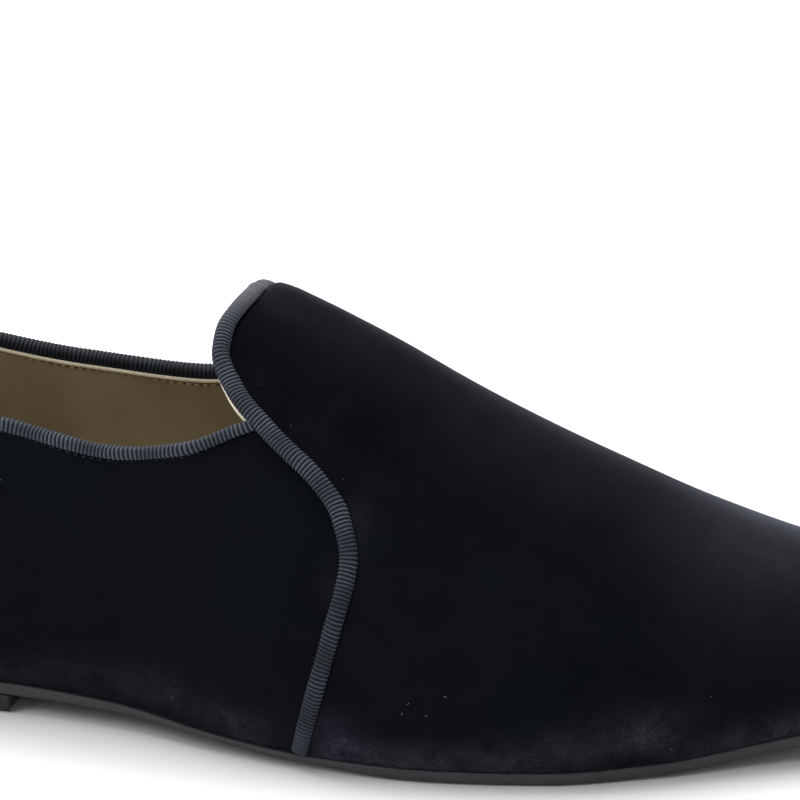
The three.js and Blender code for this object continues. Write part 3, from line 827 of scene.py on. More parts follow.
@dataclass(frozen=True)
class Ribbon:
    """Slate blue ribbed ribbon: painted highlight on the crowns, painted shade in the grooves,
    smoother and greyer where it is pressed.
    """

    # Painted shade in the grooves and painted highlight on the crowns
    groove_shade: Colour = (0.0036, 0.0050, 0.0082, 1.0)
    crown: Colour = (0.088, 0.106, 0.142, 1.0)
    pressed: Colour = (0.116, 0.119, 0.135, 1.0)

    def material(self) -> bpy.types.Material:
        """Painted highlight and painted shade by the height of the ribs, with fine threads along each rib.
        """
        shader = Shader(
            "ribbed_ribbon",
            Roughness=0.72,
            Specular_IOR_Level=0.2,
            Sheen_Weight=0.05,
            Sheen_Roughness=0.4,
            Sheen_Tint=(0.75, 0.8, 0.92, 1.0),
        )
        where = shader.place()
        threads = shader.noise(shader.lengths(90.0, 900.0), 1.0, 2.0)
        patches = shader.noise(where, 160.0, 3.0)
        height = shader.product(shader.attribute("rib"), shader.spread(threads, 0.2, 0.8, 0.7, 1.1))
        height = shader.spread(height, 0.22, 0.86)
        # Painted shade in the grooves turning into painted highlight on the crowns
        colour = shader.blend(height, self.groove_shade, self.crown)
        colour = shader.blend(shader.attribute("pressed"), colour, self.pressed)
        specks = shader.spread(shader.noise(where, 1700.0, 2.0), 0.4, 0.75, 0.0, 0.3)
        worn = shader.maths("ADD", shader.spread(patches, 0.3, 0.7, 0.0, 0.22), specks)
        colour = shader.blend(worn, colour, self.groove_shade)
        return shader.finished(Base_Color=colour, Normal=shader.bump(threads, 0.00006, 0.6))


@dataclass(frozen=True)
class LiningLeather:
    """Smooth tan lining leather with a faint grain, soft wrinkles and uneven colour."""

    name: str
    tan: Colour
    dark: Colour
    roughness: float
    grain: float

    def material(self) -> bpy.types.Material:
        """Two tans in clouds over fine cells."""
        shader = Shader(self.name, Specular_IOR_Level=0.35, Coat_Weight=0.04, Coat_Roughness=0.5)
        where = shader.place()
        clouds = shader.spread(shader.noise(where, 45.0, 4.0), 0.35, 0.68)
        colour = shader.blend(clouds, self.tan, self.dark)
        spots = shader.spread(shader.noise(where, 600.0, 3.0), 0.58, 0.75, 0.0, 0.3)
        cells = shader.node("TexVoronoi", {"feature": "F1"}, Vector=where, Scale=self.grain)
        folds = shader.noise(shader.lengths(9.0, 34.0), 1.0, 3.0)
        fine = shader.bump(cells.outputs["Distance"], 0.00008, 0.35)
        return shader.finished(
            Base_Color=shader.blend(spots, colour, self.dark),
            Roughness=shader.spread(clouds, 0.0, 1.0, self.roughness, self.roughness + UNEVEN_GLOSS),
            Normal=shader.bump(folds, 0.0006, 0.25, fine),
        )


@dataclass(frozen=True)
class Plain:
    """A plain finish of two near tones in clouds with a fine bump: raw edge, thread or rubber."""

    name: str
    tone: Colour
    other: Colour
    roughness: float
    scale: float
    depth: float
    sheen: float = 0.0

    def material(self) -> bpy.types.Material:
        """Clouds of the two tones, speckled, with a bump of the same grain."""
        shader = Shader(self.name, Specular_IOR_Level=0.3, Sheen_Weight=self.sheen)
        where = shader.place()
        speckle = shader.noise(where, self.scale, 4.0, 0.6)
        clouds = shader.noise(where, self.scale * 0.08, 3.0)
        cloudy = shader.spread(clouds, 0.25, 0.75, 0.3, 1.0)
        both = shader.product(shader.spread(speckle, 0.3, 0.7), cloudy)
        return shader.finished(
            Base_Color=shader.blend(both, self.tone, self.other),
            Roughness=shader.spread(clouds, 0.3, 0.7, self.roughness, self.roughness + UNEVEN_GLOSS),
            Normal=shader.bump(speckle, self.depth, 0.6),
        )


LINING_LEATHER = LiningLeather(
    "lining_leather", (0.276, 0.224, 0.132, 1.0), (0.198, 0.152, 0.086, 1.0), 0.5, 1900.0
)
HEEL_LEATHER = LiningLeather(
    "heel_leather", (0.40, 0.245, 0.110, 1.0), (0.30, 0.175, 0.074, 1.0), 0.72, 1200.0
)
SOCK_LEATHER = LiningLeather(
    "sock_leather", (0.30, 0.235, 0.140, 1.0), (0.23, 0.175, 0.100, 1.0), 0.48, 1700.0
)
RAW_EDGE = Plain("raw_leather_edge", (0.95, 0.88, 0.70, 1.0), (0.84, 0.74, 0.55, 1.0), 0.75, 900.0, 0.0001)
TAN_THREAD = Plain(
    "tan_thread", (0.62, 0.47, 0.26, 1.0), (0.42, 0.29, 0.15, 1.0), 0.6, 3000.0, 0.00003, 0.2
)
PALE_THREAD = Plain(
    "pale_thread", (0.66, 0.56, 0.44, 1.0), (0.46, 0.37, 0.27, 1.0), 0.6, 3000.0, 0.00003, 0.2
)
DARK_THREAD = Plain(
    "dark_thread", (0.014, 0.018, 0.019, 1.0), (0.004, 0.005, 0.006, 1.0), 0.7, 3000.0, 0.00003, 0.2
)
# Pinholes: dark beads of painted shade where the needle holes are
PINHOLE_SHADE = Plain("pinhole_shade", (0.045, 0.028, 0.014, 1.0), (0.03, 0.02, 0.01, 1.0), 0.9, 2000.0, 0.00002)
SOLE_RUBBER = Plain(
    "sole_rubber", (0.042, 0.044, 0.049, 1.0), (0.028, 0.029, 0.033, 1.0), 0.55, 1500.0, 0.00012
)
HEEL_RUBBER = Plain(
    "heel_rubber", (0.026, 0.027, 0.031, 1.0), (0.016, 0.016, 0.019, 1.0), 0.6, 1700.0, 0.00014
)
LINT = Plain("lint", (0.30, 0.32, 0.35, 1.0), (0.2, 0.21, 0.24, 1.0), 0.8, 3000.0, 0.00002)


@dataclass
class VelvetUpper:
    """Quarters round the heel and a vamp that laps over them, both of velvet on the last."""

    quarter_rows: int = 100
    quarter_columns: int = 401
    low_rows: int = 12
    arch_rows: int = 84
    vamp_columns: int = 190
    closer_at_edge: float = 1.3
    under_vamp: float = 0.022
    rolled_edge: float = 1.1
    roll_ends: float = 0.013
    gather_pitch: float = 6.5
    gather_depth: float = 0.11
    gather_height: float = 3.5
    margin: tuple[float, ...] = (6.0, 2.5, 0.8)
    finish: Velvet = field(default_factory=Velvet)
    creases: tuple[Crease, ...] = (
        Crease((141.0, -44.0, 48.0), (146.0, -46.0, 30.0), 5.0, 0.45),
        Crease((150.0, -38.0, 46.0), (158.0, -44.0, 22.0), 8.0, -0.5),
        Crease((124.0, -25.0, 66.0), (134.0, -36.0, 54.0), 5.0, -0.35),
        Crease((118.0, -12.0, 74.0), (126.0, 12.0, 70.0), 6.0, -0.4),
        Crease((129.0, -44.0, 14.0), (133.0, -46.0, 4.0), 2.0, 0.4),
        Crease((134.5, -45.0, 13.0), (138.0, -46.0, 4.0), 2.2, -0.4),
        Crease((60.0, -29.0, 40.0), (96.0, -38.0, 30.0), 12.0, -0.5),
        Crease((86.0, -34.0, 14.0), (100.0, -38.0, 8.0), 4.0, 0.35),
        Crease((70.0, -30.0, 18.0), (88.0, -34.0, 16.0), 4.0, -0.3),
        Crease((120.0, 25.0, 60.0), (138.0, 36.0, 30.0), 7.0, -0.45),
        Crease((80.0, 28.0, 40.0), (104.0, 30.0, 24.0), 9.0, -0.5),
    )

    def relief(self, points: np.ndarray) -> np.ndarray:
        """How far the velvet stands out: the creases, and small gathers that die out over the sole.

        The gathers are a sine along the shoe with an uneven beat, other on the two sides, and they
        fade with height over the sole.
        """
        x = np.clip(points[..., 0], 0.0, LENGTH)
        up = np.maximum(points[..., 2] - LAST.feather(x), 0.0)
        side = np.where(points[..., 1] < LAST.middle(x), 0.0, 1.7)
        beat = np.sin(2 * np.pi * x / self.gather_pitch + side + 1.3 * np.sin(x / 9.0))
        gathers = self.gather_depth * beat * np.exp(-((up / self.gather_height) ** 2))
        return gathers + sum(crease.height(points) for crease in self.creases)

    def shaped(self, turn: np.ndarray, girth: np.ndarray, out: np.ndarray | float) -> np.ndarray:
        """The last's surface moved out, with its relief, and never under the feather line."""
        base, normal = LAST.point(turn, girth), LAST.normal(turn, girth)
        points = base + normal * (out + self.relief(base))[..., None]
        foot = LAST.feather(np.clip(points[..., 0], 0.0, LENGTH))
        points[..., 2] = np.maximum(points[..., 2], foot)
        return points

    def turned_in(self, turn: np.ndarray, edge: np.ndarray) -> np.ndarray:
        """Rows of the margin under the foot, from the inside out to the wall's lowest row."""
        plan = LAST.inward(turn)
        rows = []
        for inset in self.margin:
            row = edge.copy()
            row[..., :2] += plan * inset
            rows.append(row)
        return np.stack(rows)

    def quarters(self) -> bpy.types.Object:
        """Velvet from under the vamp's edge round the heel to its edge on the other side."""
        share = np.linspace(-1.0, 1.0, self.quarter_columns)
        up = np.linspace(0.0, 1.0, self.quarter_rows)
        turn, girth = LAST.quarter_grid(share, up, self.under_vamp)
        points = self.shaped(turn, girth, 0.0)
        points = np.concatenate([self.turned_in(turn[0], points[0]), points])
        obj = to_object("quarters_velvet", points, uv=lengths_over(points), values=pile(points))
        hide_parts("upper")
        return obj

    def vamp(self) -> bpy.types.Object:
        """Velvet from the vamp's edge over the ridge to the toe, where both sides are joined.

        A row keeps its girth and a column its share of the turn from the edge to the toe.
        """
        half = np.concatenate([
            np.linspace(0.0, LOW_SHARE, self.low_rows, endpoint=False),
            np.linspace(LOW_SHARE, 1.0, self.arch_rows),
        ])
        girth = both_sides(half)
        edge = LAST.edge_over(girth)
        share = np.linspace(0.0, 1.0, self.vamp_columns) ** self.closer_at_edge
        turn = edge[:, None] + (np.pi - edge[:, None]) * share
        wide = np.broadcast_to(girth[:, None], turn.shape)
        rolled = self.rolled_edge * (1 - smooth(share, 0.0, self.roll_ends))
        points = self.shaped(turn, wide, VAMP_STEP - rolled)
        lateral = self.turned_in(turn[0], points[0])
        medial = self.turned_in(-turn[-1], points[-1])[::-1]
        points, index = joined_at_toe(np.concatenate([lateral, points, medial]))
        return to_object("vamp_velvet", points, index, uv=lengths_over(points), values=pile(points))

    def build(self) -> None:
        """Makes and dresses both pieces of velvet."""
        cloth = self.finish.material()
        dress(self.quarters(), cloth)
        dress(self.vamp(), cloth)


@dataclass
class Lining:
    """Leather inside the upper: a quarter lining, a warmer heel piece, and the vamp's lining."""

    behind: float = WALL + 0.05
    deeper: float = 0.25
    foot: float = 0.02
    heel_piece_ends: float = 31.0
    heel_piece_laps: float = 0.012
    rows: int = 60
    columns: int = 241
    fewest_columns: int = 60
    vamp_rows: int = 44
    vamp_columns: int = 90
    vamp_inset: float = 0.004
    wave_height: float = 0.12

    def wall(self, name: str, start: float, end: float, out: float) -> bpy.types.Object:
        """Lining of the quarters between two shares of the way round, moved in from the last.

        Args:
            name: the piece's name.
            start: first share, from -1 at the medial vamp edge to 1 at the lateral one.
            end: last share.
            out: how far it lies outside the last, below zero for inside.

        Returns:
            The object.
        """
        count = max(int(self.columns * (end - start) / 2), self.fewest_columns)
        up = np.linspace(self.foot, 1.0, self.rows)
        turn, girth = LAST.quarter_grid(np.linspace(start, end, count), up)
        base = LAST.point(turn, girth)
        waves = np.sin(base[..., 0] / 5.5 + base[..., 2] / 9.0) * np.sin(base[..., 2] / 14.0)
        points = base + LAST.normal(turn, girth) * (out + self.wave_height * waves)[..., None]
        return to_object(name, points, flip=True, uv=lengths_over(points))

    def vamp_wall(self) -> bpy.types.Object:
        """Lining of the vamp from its edge to the toe, both sides in one."""
        girth = both_sides(np.linspace(self.foot, 1.0, self.vamp_rows))
        edge = LAST.edge_over(girth)
        share = np.linspace(self.vamp_inset, 1.0, self.vamp_columns)
        turn = edge[:, None] + (np.pi - edge[:, None]) * share
        wide = np.broadcast_to(girth[:, None], turn.shape)
        points, index = joined_at_toe(LAST.offset(turn, wide, -self.behind))
        return to_object("vamp_lining", points, index, flip=True, uv=lengths_over(points))

    def share_at(self, side: Side, x: float) -> float:
        """Share of the way round at which the top line passes a station."""
        return float(side.value * turn_at(x) / CORNER_TURNS[side])

    def build(self) -> None:
        """Makes and dresses the lining's pieces."""
        tan = LINING_LEATHER.material()
        lateral = self.share_at(Side.LATERAL, self.heel_piece_ends)
        medial = self.share_at(Side.MEDIAL, self.heel_piece_ends)
        out = -self.behind - self.deeper
        dress(self.wall("quarter_lining_lateral", lateral, 1.0, out), tan)
        dress(self.wall("quarter_lining_medial", -1.0, medial, out), tan)
        laps = self.heel_piece_laps
        heel = self.wall("heel_lining", medial - laps, lateral + laps, -self.behind)
        dress(heel, HEEL_LEATHER.material())
        dress(self.vamp_wall(), tan)


@dataclass
class Tape:
    """Ribbed ribbon folded over an edge and swept along it."""

    pitch: float = 0.87
    vamp_pitch: float = 0.78
    steps: int = 7
    points: int = 24
    topline_stations: int = 260
    vamp_stations: int = 420
    rib: float = 0.19
    lean: float = 0.26
    zigzag: float = 0.13
    tucked: float = 0.16
    pressed_rib: float = 0.44
    pressed_tone: float = 0.8
    # Painted shade on the profile's inner half
    inside_shade: float = 0.45
    over_sole: float = 0.02
    flattened: float = 0.95
    fuller: float = 0.15
    thinner: float = 0.45
    ridge_sink: float = 0.35
    medial_flat_lead: float = 0.08
    medial_sink_lead: float = 0.25
    low_paleness: float = 0.70
    finish: Ribbon = field(default_factory=Ribbon)
    top_profile: tuple[tuple[float, float], ...] = (
        (-0.10, -1.58), (0.30, -1.58), (0.55, -1.30), (0.66, -0.60), (0.60, 0.10), (0.26, 0.60),
        (-0.35, 0.84), (-1.00, 0.84), (-1.60, 0.64), (-2.06, 0.18), (-2.24, -0.45), (-2.22, -1.10),
        (-2.06, -1.54), (-1.55, -1.60),
    )
    laid_profile: tuple[tuple[float, float], ...] = (
        (-0.30, -1.20), (-0.30, -1.30), (-0.30, -1.40), (-0.30, -1.50), (-0.30, -1.60), (-0.20, -1.68),
        (0.15, -1.74), (0.70, -1.72), (1.22, -1.38), (1.52, -0.70), (1.60, 0.10), (1.52, 0.80),
        (1.26, 1.32), (0.84, 1.56), (0.45, 1.56),
    )
    free_profile: tuple[tuple[float, float], ...] = (
        (-1.55, 1.50), (-2.00, 1.40), (-2.32, 0.95), (-2.42, 0.15), (-2.22, -0.65), (-1.65, -1.30),
        (-0.75, -1.66), (0.30, -1.70), (1.10, -1.38), (1.52, -0.70), (1.60, 0.10), (1.52, 0.80),
        (1.26, 1.32), (0.84, 1.56), (0.45, 1.56),
    )

    def swept(
        self,
        name: str,
        turn: np.ndarray,
        girth: np.ndarray,
        profile: np.ndarray,
        flat: np.ndarray,
        smoothed: np.ndarray,
        worn: np.ndarray,
        pitch: float,
    ) -> bpy.types.Object:
        """The tape along a run of the last's surface.

        A profile point goes out along the surface's normal and across the run. The ribs are a cosine
        along the run that lifts the profile outwards, and they lean and waver a little. Their stored
        share paints highlight on the crowns and shade in the grooves, with more painted shade on the
        profile's inner half.

        Args:
            name: the piece's name.
            turn: turn of each station of the run.
            girth: girth of each station.
            profile: out and across of each profile point, one row a station.
            flat: how far the ribs are pressed flat at each station.
            smoothed: how far it has the smooth tone of the tongue's top at each station.
            worn: share of the ribs' paleness that is left at each station.
            pitch: distance from one rib to the next.

        Returns:
            The object, with its rib height for painted highlight and shade, and its pressed share, stored
            on it.
        """
        centre = LAST.point(turn, girth)
        at, distance = resample(centre, pitch / self.steps)
        rows = np.arange(len(centre))
        turn, girth, flat, smoothed, worn = (
            np.interp(at, rows, value) for value in (turn, girth, flat, smoothed, worn)
        )
        centre, normal = LAST.point(turn, girth), LAST.normal(turn, girth)
        ahead = unit(np.gradient(centre, axis=0))
        across = unit(np.cross(ahead, normal))
        low = at.astype(int)
        share = (at - low)[:, None, None]
        high = np.minimum(low + 1, len(profile) - 1)
        shape = profile[low] * (1 - share) + profile[high] * share
        edge = unit(np.gradient(shape, axis=1))
        outward = np.stack([-edge[..., 1], edge[..., 0]], axis=-1)
        middle = shape.mean(axis=1, keepdims=True)
        outward *= np.sign(((shape - middle) * outward).sum(axis=-1, keepdims=True))
        over = np.linspace(-1.0, 1.0, shape.shape[1])
        waver = 0.22 * np.sin(distance / 6.1) + 0.12 * np.sin(distance / 1.9 + 1.0)
        zigzag = self.zigzag * np.sin(5.0 * over + distance[:, None] / 2.3)
        phase = (distance / pitch + waver)[:, None] + self.lean * over**2 + zigzag
        crown = 0.5 - 0.5 * np.cos(2 * np.pi * np.mod(phase, 1.0))
        tucked = smooth(1 - np.abs(over), 0.0, self.tucked)
        uneven = 0.85 + 0.15 * np.sin(phase.astype(int) * SCATTER)
        lift = self.rib * crown * (1 - flat[:, None]) * tucked * uneven
        shape = shape + outward * lift[..., None]
        points = centre[:, None] + normal[:, None] * shape[..., :1] + across[:, None] * shape[..., 1:]
        foot = LAST.feather(np.clip(points[..., 0], 0.0, LENGTH)) + self.over_sole
        points[..., 2] = np.maximum(points[..., 2], foot)
        pressed = self.pressed_tone * np.broadcast_to(smoothed[:, None], crown.shape)
        # Painted shade on the inner half; the rib share paints highlight on crowns and shade in grooves
        bright = 1 - self.inside_shade * smooth(-shape[..., 0], -0.4, 0.9)
        shown = crown * uneven * bright * worn[:, None]
        shown += (self.pressed_rib - shown) * flat[:, None]
        tones = {"rib": shown, "pressed": pressed}
        return to_object(name, points, uv=lengths_over(points), values=tones)

    def topline(self) -> bpy.types.Object:
        """Tape over the quarters' top edge, from one vamp corner round the heel to the other."""
        turns, girths = [], []
        for side in Side:
            share = np.linspace(1.0, 0.0, self.topline_stations)
            turn = side.value * CORNER_TURNS[side] * share
            turns.append(turn)
            girths.append(LAST.topline_girth(side, turn))
        turn = np.concatenate([turns[0], turns[1][-2::-1]])
        girth = np.concatenate([girths[0], girths[1][-2::-1]])
        outline = curve_through(np.array(self.top_profile), self.points)
        profile = np.broadcast_to(outline, (len(turn), *outline.shape))
        none = np.zeros(len(turn))
        obj = self.swept("topline_ribbon", turn, girth, profile, none, none, none + 1.0, self.pitch)
        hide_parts("topline_binding")
        return obj

    def vamp_edge(self) -> bpy.types.Object:
        """Tape along the vamp's edge, laid on the quarters below the corner and free above it.

        It is pressed flat and smooth over the tongue, thins out past the ridge and at the sole, and
        its ribs are less pale low down.
        """
        girth = both_sides(np.linspace(0.012, 1.0, self.vamp_stations))
        turn = LAST.edge_over(girth)
        height = 1 - np.abs(girth - 1)
        medial = girth > 1.0
        above = height - np.where(medial, CORNERS[Side.MEDIAL], CORNERS[Side.LATERAL])
        free = smooth(above, -0.01, 0.035)[:, None, None]
        laid = curve_through(np.array(self.laid_profile), self.points)
        wrapped = curve_through(np.array(self.free_profile), self.points)
        profile = laid * (1 - free) + wrapped * free
        over_ridge = smooth(height + self.medial_flat_lead * medial, 0.76, 0.91)
        top = smooth(height + self.medial_sink_lead * medial, 0.955, 1.0)
        flat = self.flattened * (over_ridge + 1 - smooth(height, 0.04, 0.12))
        thick = 1 + self.fuller * smooth(height, 0.82, 0.92) * (1 - top)
        thick -= self.thinner * (top + 1 - smooth(height, -0.02, 0.03))
        profile[..., 0] *= np.where(profile[..., 0] > 0, thick[:, None], 1.0)
        profile[..., 0] -= self.ridge_sink * top[:, None]
        worn = self.low_paleness + (1 - self.low_paleness) * smooth(height, 0.30, 0.60)
        obj = self.swept("vamp_ribbon", turn, girth, profile, flat, over_ridge, worn, self.vamp_pitch)
        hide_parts("vamp_binding")
        return obj

    def build(self) -> None:
        """Makes and dresses both tapes."""
        ribbon = self.finish.material()
        dress(self.topline(), ribbon)
        dress(self.vamp_edge(), ribbon)


@dataclass
class Stitching:
    """Rows of stitches, pinholes as dark beads of painted shade, the lining's raw edge and the ladder
    of threads at its join.
    """

    pitch: float = 1.75
    places_a_pitch: int = 8
    jitter: float = 0.10
    bead_rings: int = 5
    bead_sides: int = 6
    edge_low: float = 2.30
    edge_high: float = 1.55
    edge_starts: float = 0.40
    row_down: float = 2.95
    row_out: float = -1.98
    row_share: tuple[float, float] = (0.42, 0.985)
    velvet_row_down: float = 2.05
    velvet_row_out: float = 0.02
    velvet_row_share: tuple[float, float] = (0.03, 0.97)
    stitch: Bead = (0.48, 0.15, 0.12)
    # Size of each pinhole's bead of painted shade
    pinhole_shade: Bead = (0.20, 0.17, 0.10)
    velvet_stitch: Bead = (0.34, 0.10, 0.09)
    join_at: float = 32.0
    join_out: float = -2.02
    join_count: int = 30
    join_thread: Bead = (1.15, 0.17, 0.16)
    join_pinhole_shade: Bead = (0.2, 0.2, 0.1)
    join_pinhole_ahead: float = 1.9

    def run(
        self, side: Side, start: float, end: float, down: float, out: float
    ) -> tuple[np.ndarray, np.ndarray, np.ndarray]:
        """Places at equal distances along the top line, lowered over the surface.

        Args:
            side: which side of the shoe.
            start: first share of the way from the heel to the vamp's corner.
            end: last share.
            down: distance below the top edge.
            out: distance outside the last.

        Returns:
            Points, run directions, and normals.
        """
        turn = side.value * CORNER_TURNS[side] * np.linspace(start, end, 500)
        girth = LAST.topline_girth(side, turn)
        top = LAST.point(turn, girth)
        step = 0.01
        length = np.linalg.norm(LAST.point(turn, girth - step) - top, axis=1)
        girth = girth - step * down / length
        points = LAST.offset(turn, girth, np.full_like(turn, out))
        normal = LAST.normal(turn, girth)
        return points, unit(np.gradient(points, axis=0)), normal

    def beads(
        self, name: str, centres: np.ndarray, run: np.ndarray, normal: np.ndarray, size: Bead
    ) -> bpy.types.Object:
        """One mesh of small round-ended beads, each along its own run.

        A bead is a ball of a few sides and rings, stretched to its size. The first and last rings
        are its two tips.

        Args:
            name: the piece's name.
            centres: middle of each bead.
            run: its long direction.
            normal: its height direction.
            size: the bead's half length, half width and half height.

        Returns:
            The object.
        """
        rings, sides = self.bead_rings, self.bead_sides
        tip = np.linspace(0.0, np.pi, rings)[:, None]
        spin = np.linspace(0.0, 2 * np.pi, sides + 1)[:-1]
        lengthwise = np.broadcast_to(-np.cos(tip), (rings, sides))
        ball = np.stack([lengthwise, np.sin(tip) * np.cos(spin), np.sin(tip) * np.sin(spin)], axis=-1)
        ball = ball.reshape(-1, 3) * size
        side = unit(np.cross(normal, run))
        frame = np.stack([run, side, unit(np.cross(run, side))], axis=1)
        uneven = 0.8 + 0.3 * np.sin(np.arange(len(centres)) * SCATTER)
        points = centres[:, None] + np.einsum("pk,nkc->npc", ball, frame) * uneven[:, None, None]
        grid = np.arange(rings * sides).reshape(rings, sides)
        a, b = grid[:-1], np.roll(grid, -1, axis=1)[:-1]
        c, d = np.roll(grid, -1, axis=1)[1:], grid[1:]
        faces = np.stack([a, b, c, d], axis=-1)[1:-1].reshape(-1, 4)
        tips = np.stack([grid[0, :1].repeat(sides), b[1], a[1]], axis=-1)
        tails = np.stack([grid[-1, :1].repeat(sides), d[-2], c[-2]], axis=-1)
        shift = (np.arange(len(centres)) * rings * sides)[:, None, None]
        body = (faces + shift).reshape(-1, 4).tolist()
        ends = (np.concatenate([tips, tails]) + shift).reshape(-1, 3).tolist()
        mesh = bpy.data.meshes.new(name)
        mesh.from_pydata(in_row_frame(points), [], body + ends)
        return placed(name, mesh)

    def row(
        self, name: str, places: tuple[np.ndarray, np.ndarray, np.ndarray], shift: float, size: Bead
    ) -> bpy.types.Object:
        """Beads at the stitch pitch along a run, moved on by a share of the pitch."""
        points, run, normal = places
        count = self.places_a_pitch
        at, distance = resample(points, self.pitch / count)
        rows = np.arange(len(points))
        pick = np.arange(int(count * (0.5 + shift)), len(at) - 2, count)
        chosen = [
            np.stack([np.interp(at[pick], rows, value[:, axis]) for axis in range(3)], axis=1)
            for value in (points, run, normal)
        ]
        jitter = self.jitter * np.sin(distance[pick] * 7.3)
        centres = chosen[0] + unit(np.cross(chosen[2], chosen[1])) * jitter[:, None]
        return self.beads(name, centres, unit(chosen[1]), unit(chosen[2]), size)

    def raw_edge(self, side: Side) -> bpy.types.Object:
        """The lining's cut edge under the tape: a thin strip that stands proud of the leather."""
        high, low = self.edge_high, self.edge_low
        profile = ((high, -1.72), (high, -2.28), (high + 0.12, -2.46), (low, -2.44), (low + 0.04, -1.95))
        points = np.stack([self.run(side, self.edge_starts, 1.0, down, out)[0] for down, out in profile])
        flip = side is Side.LATERAL
        return to_object(f"lining_edge_{side.column}", points, flip=flip, uv=lengths_over(points))

    def tongue_edge(self) -> bpy.types.Object:
        """The pale cut edge that peeps out behind the tape near the corner, on both sides.

        It stands behind the tape at the corner and slips under it higher up.
        """
        corner = CORNERS[Side.LATERAL]
        girth = both_sides(np.linspace(corner - 0.01, 1.0, 200))
        turn = LAST.edge_over(girth)
        centre, normal = LAST.point(turn, girth), LAST.normal(turn, girth)
        across = unit(np.cross(unit(np.gradient(centre, axis=0)), normal))
        height = 1 - np.abs(girth - 1)
        peep = 0.62 * (1 - smooth(height, corner + 0.02, corner + 0.10))[:, None]
        profile = ((-1.7, -0.6), (-2.2, -1.25), (-2.45, -1.25), (-2.75, -1.1), (-2.7, 0.2), (-1.7, 0.9))
        lines = [centre + normal * out + across * (fore - peep * (fore < -1)) for out, fore in profile]
        points = np.stack(lines)
        return to_object("tongue_lining_edge", points, flip=True, uv=lengths_over(points))

    def ladder(self, side: Side) -> tuple[np.ndarray, np.ndarray, np.ndarray]:
        """Threads across the lining's join, one under the other, each along the shoe."""
        join = side.value * turn_at(self.join_at)
        top = LAST.topline_girth(side, np.array([join]))[0]
        girth = np.linspace(top - 0.055, 0.12, self.join_count)
        turn = np.full_like(girth, join)
        centres = LAST.offset(turn, girth, np.full_like(girth, self.join_out))
        return centres, LAST.ahead(turn, girth), LAST.normal(turn, girth)

    def build(self) -> None:
        """Makes and dresses every row."""
        raw, thread = RAW_EDGE.material(), TAN_THREAD.material()
        hole_shade, pale, dark = PINHOLE_SHADE.material(), PALE_THREAD.material(), DARK_THREAD.material()
        for side in Side:
            name = side.column
            lining = self.run(side, *self.row_share, self.row_down, self.row_out)
            dress(self.row(f"lining_stitches_{name}", lining, 0.0, self.stitch), thread)
            # Pinholes between the stitches, as dark beads of painted shade
            dress(self.row(f"lining_pinhole_shades_{name}", lining, 0.5, self.pinhole_shade), hole_shade)
            dress(self.raw_edge(side), raw)
            velvet = self.run(side, *self.velvet_row_share, self.velvet_row_down, self.velvet_row_out)
            dress(self.row(f"velvet_stitches_{name}", velvet, 0.0, self.velvet_stitch), dark)
            centres, run, normal = self.ladder(side)
            threads = self.beads(f"join_threads_{name}", centres, run, -normal, self.join_thread)
            dress(threads, pale)
            # Pinholes beside the join's threads, as dark beads of painted shade
            beside = centres + run * self.join_pinhole_ahead
            pin_shades = self.beads(f"join_pinhole_shades_{name}", beside, run, -normal, self.join_pinhole_shade)
            dress(pin_shades, hole_shade)
        dress(self.tongue_edge(), raw)


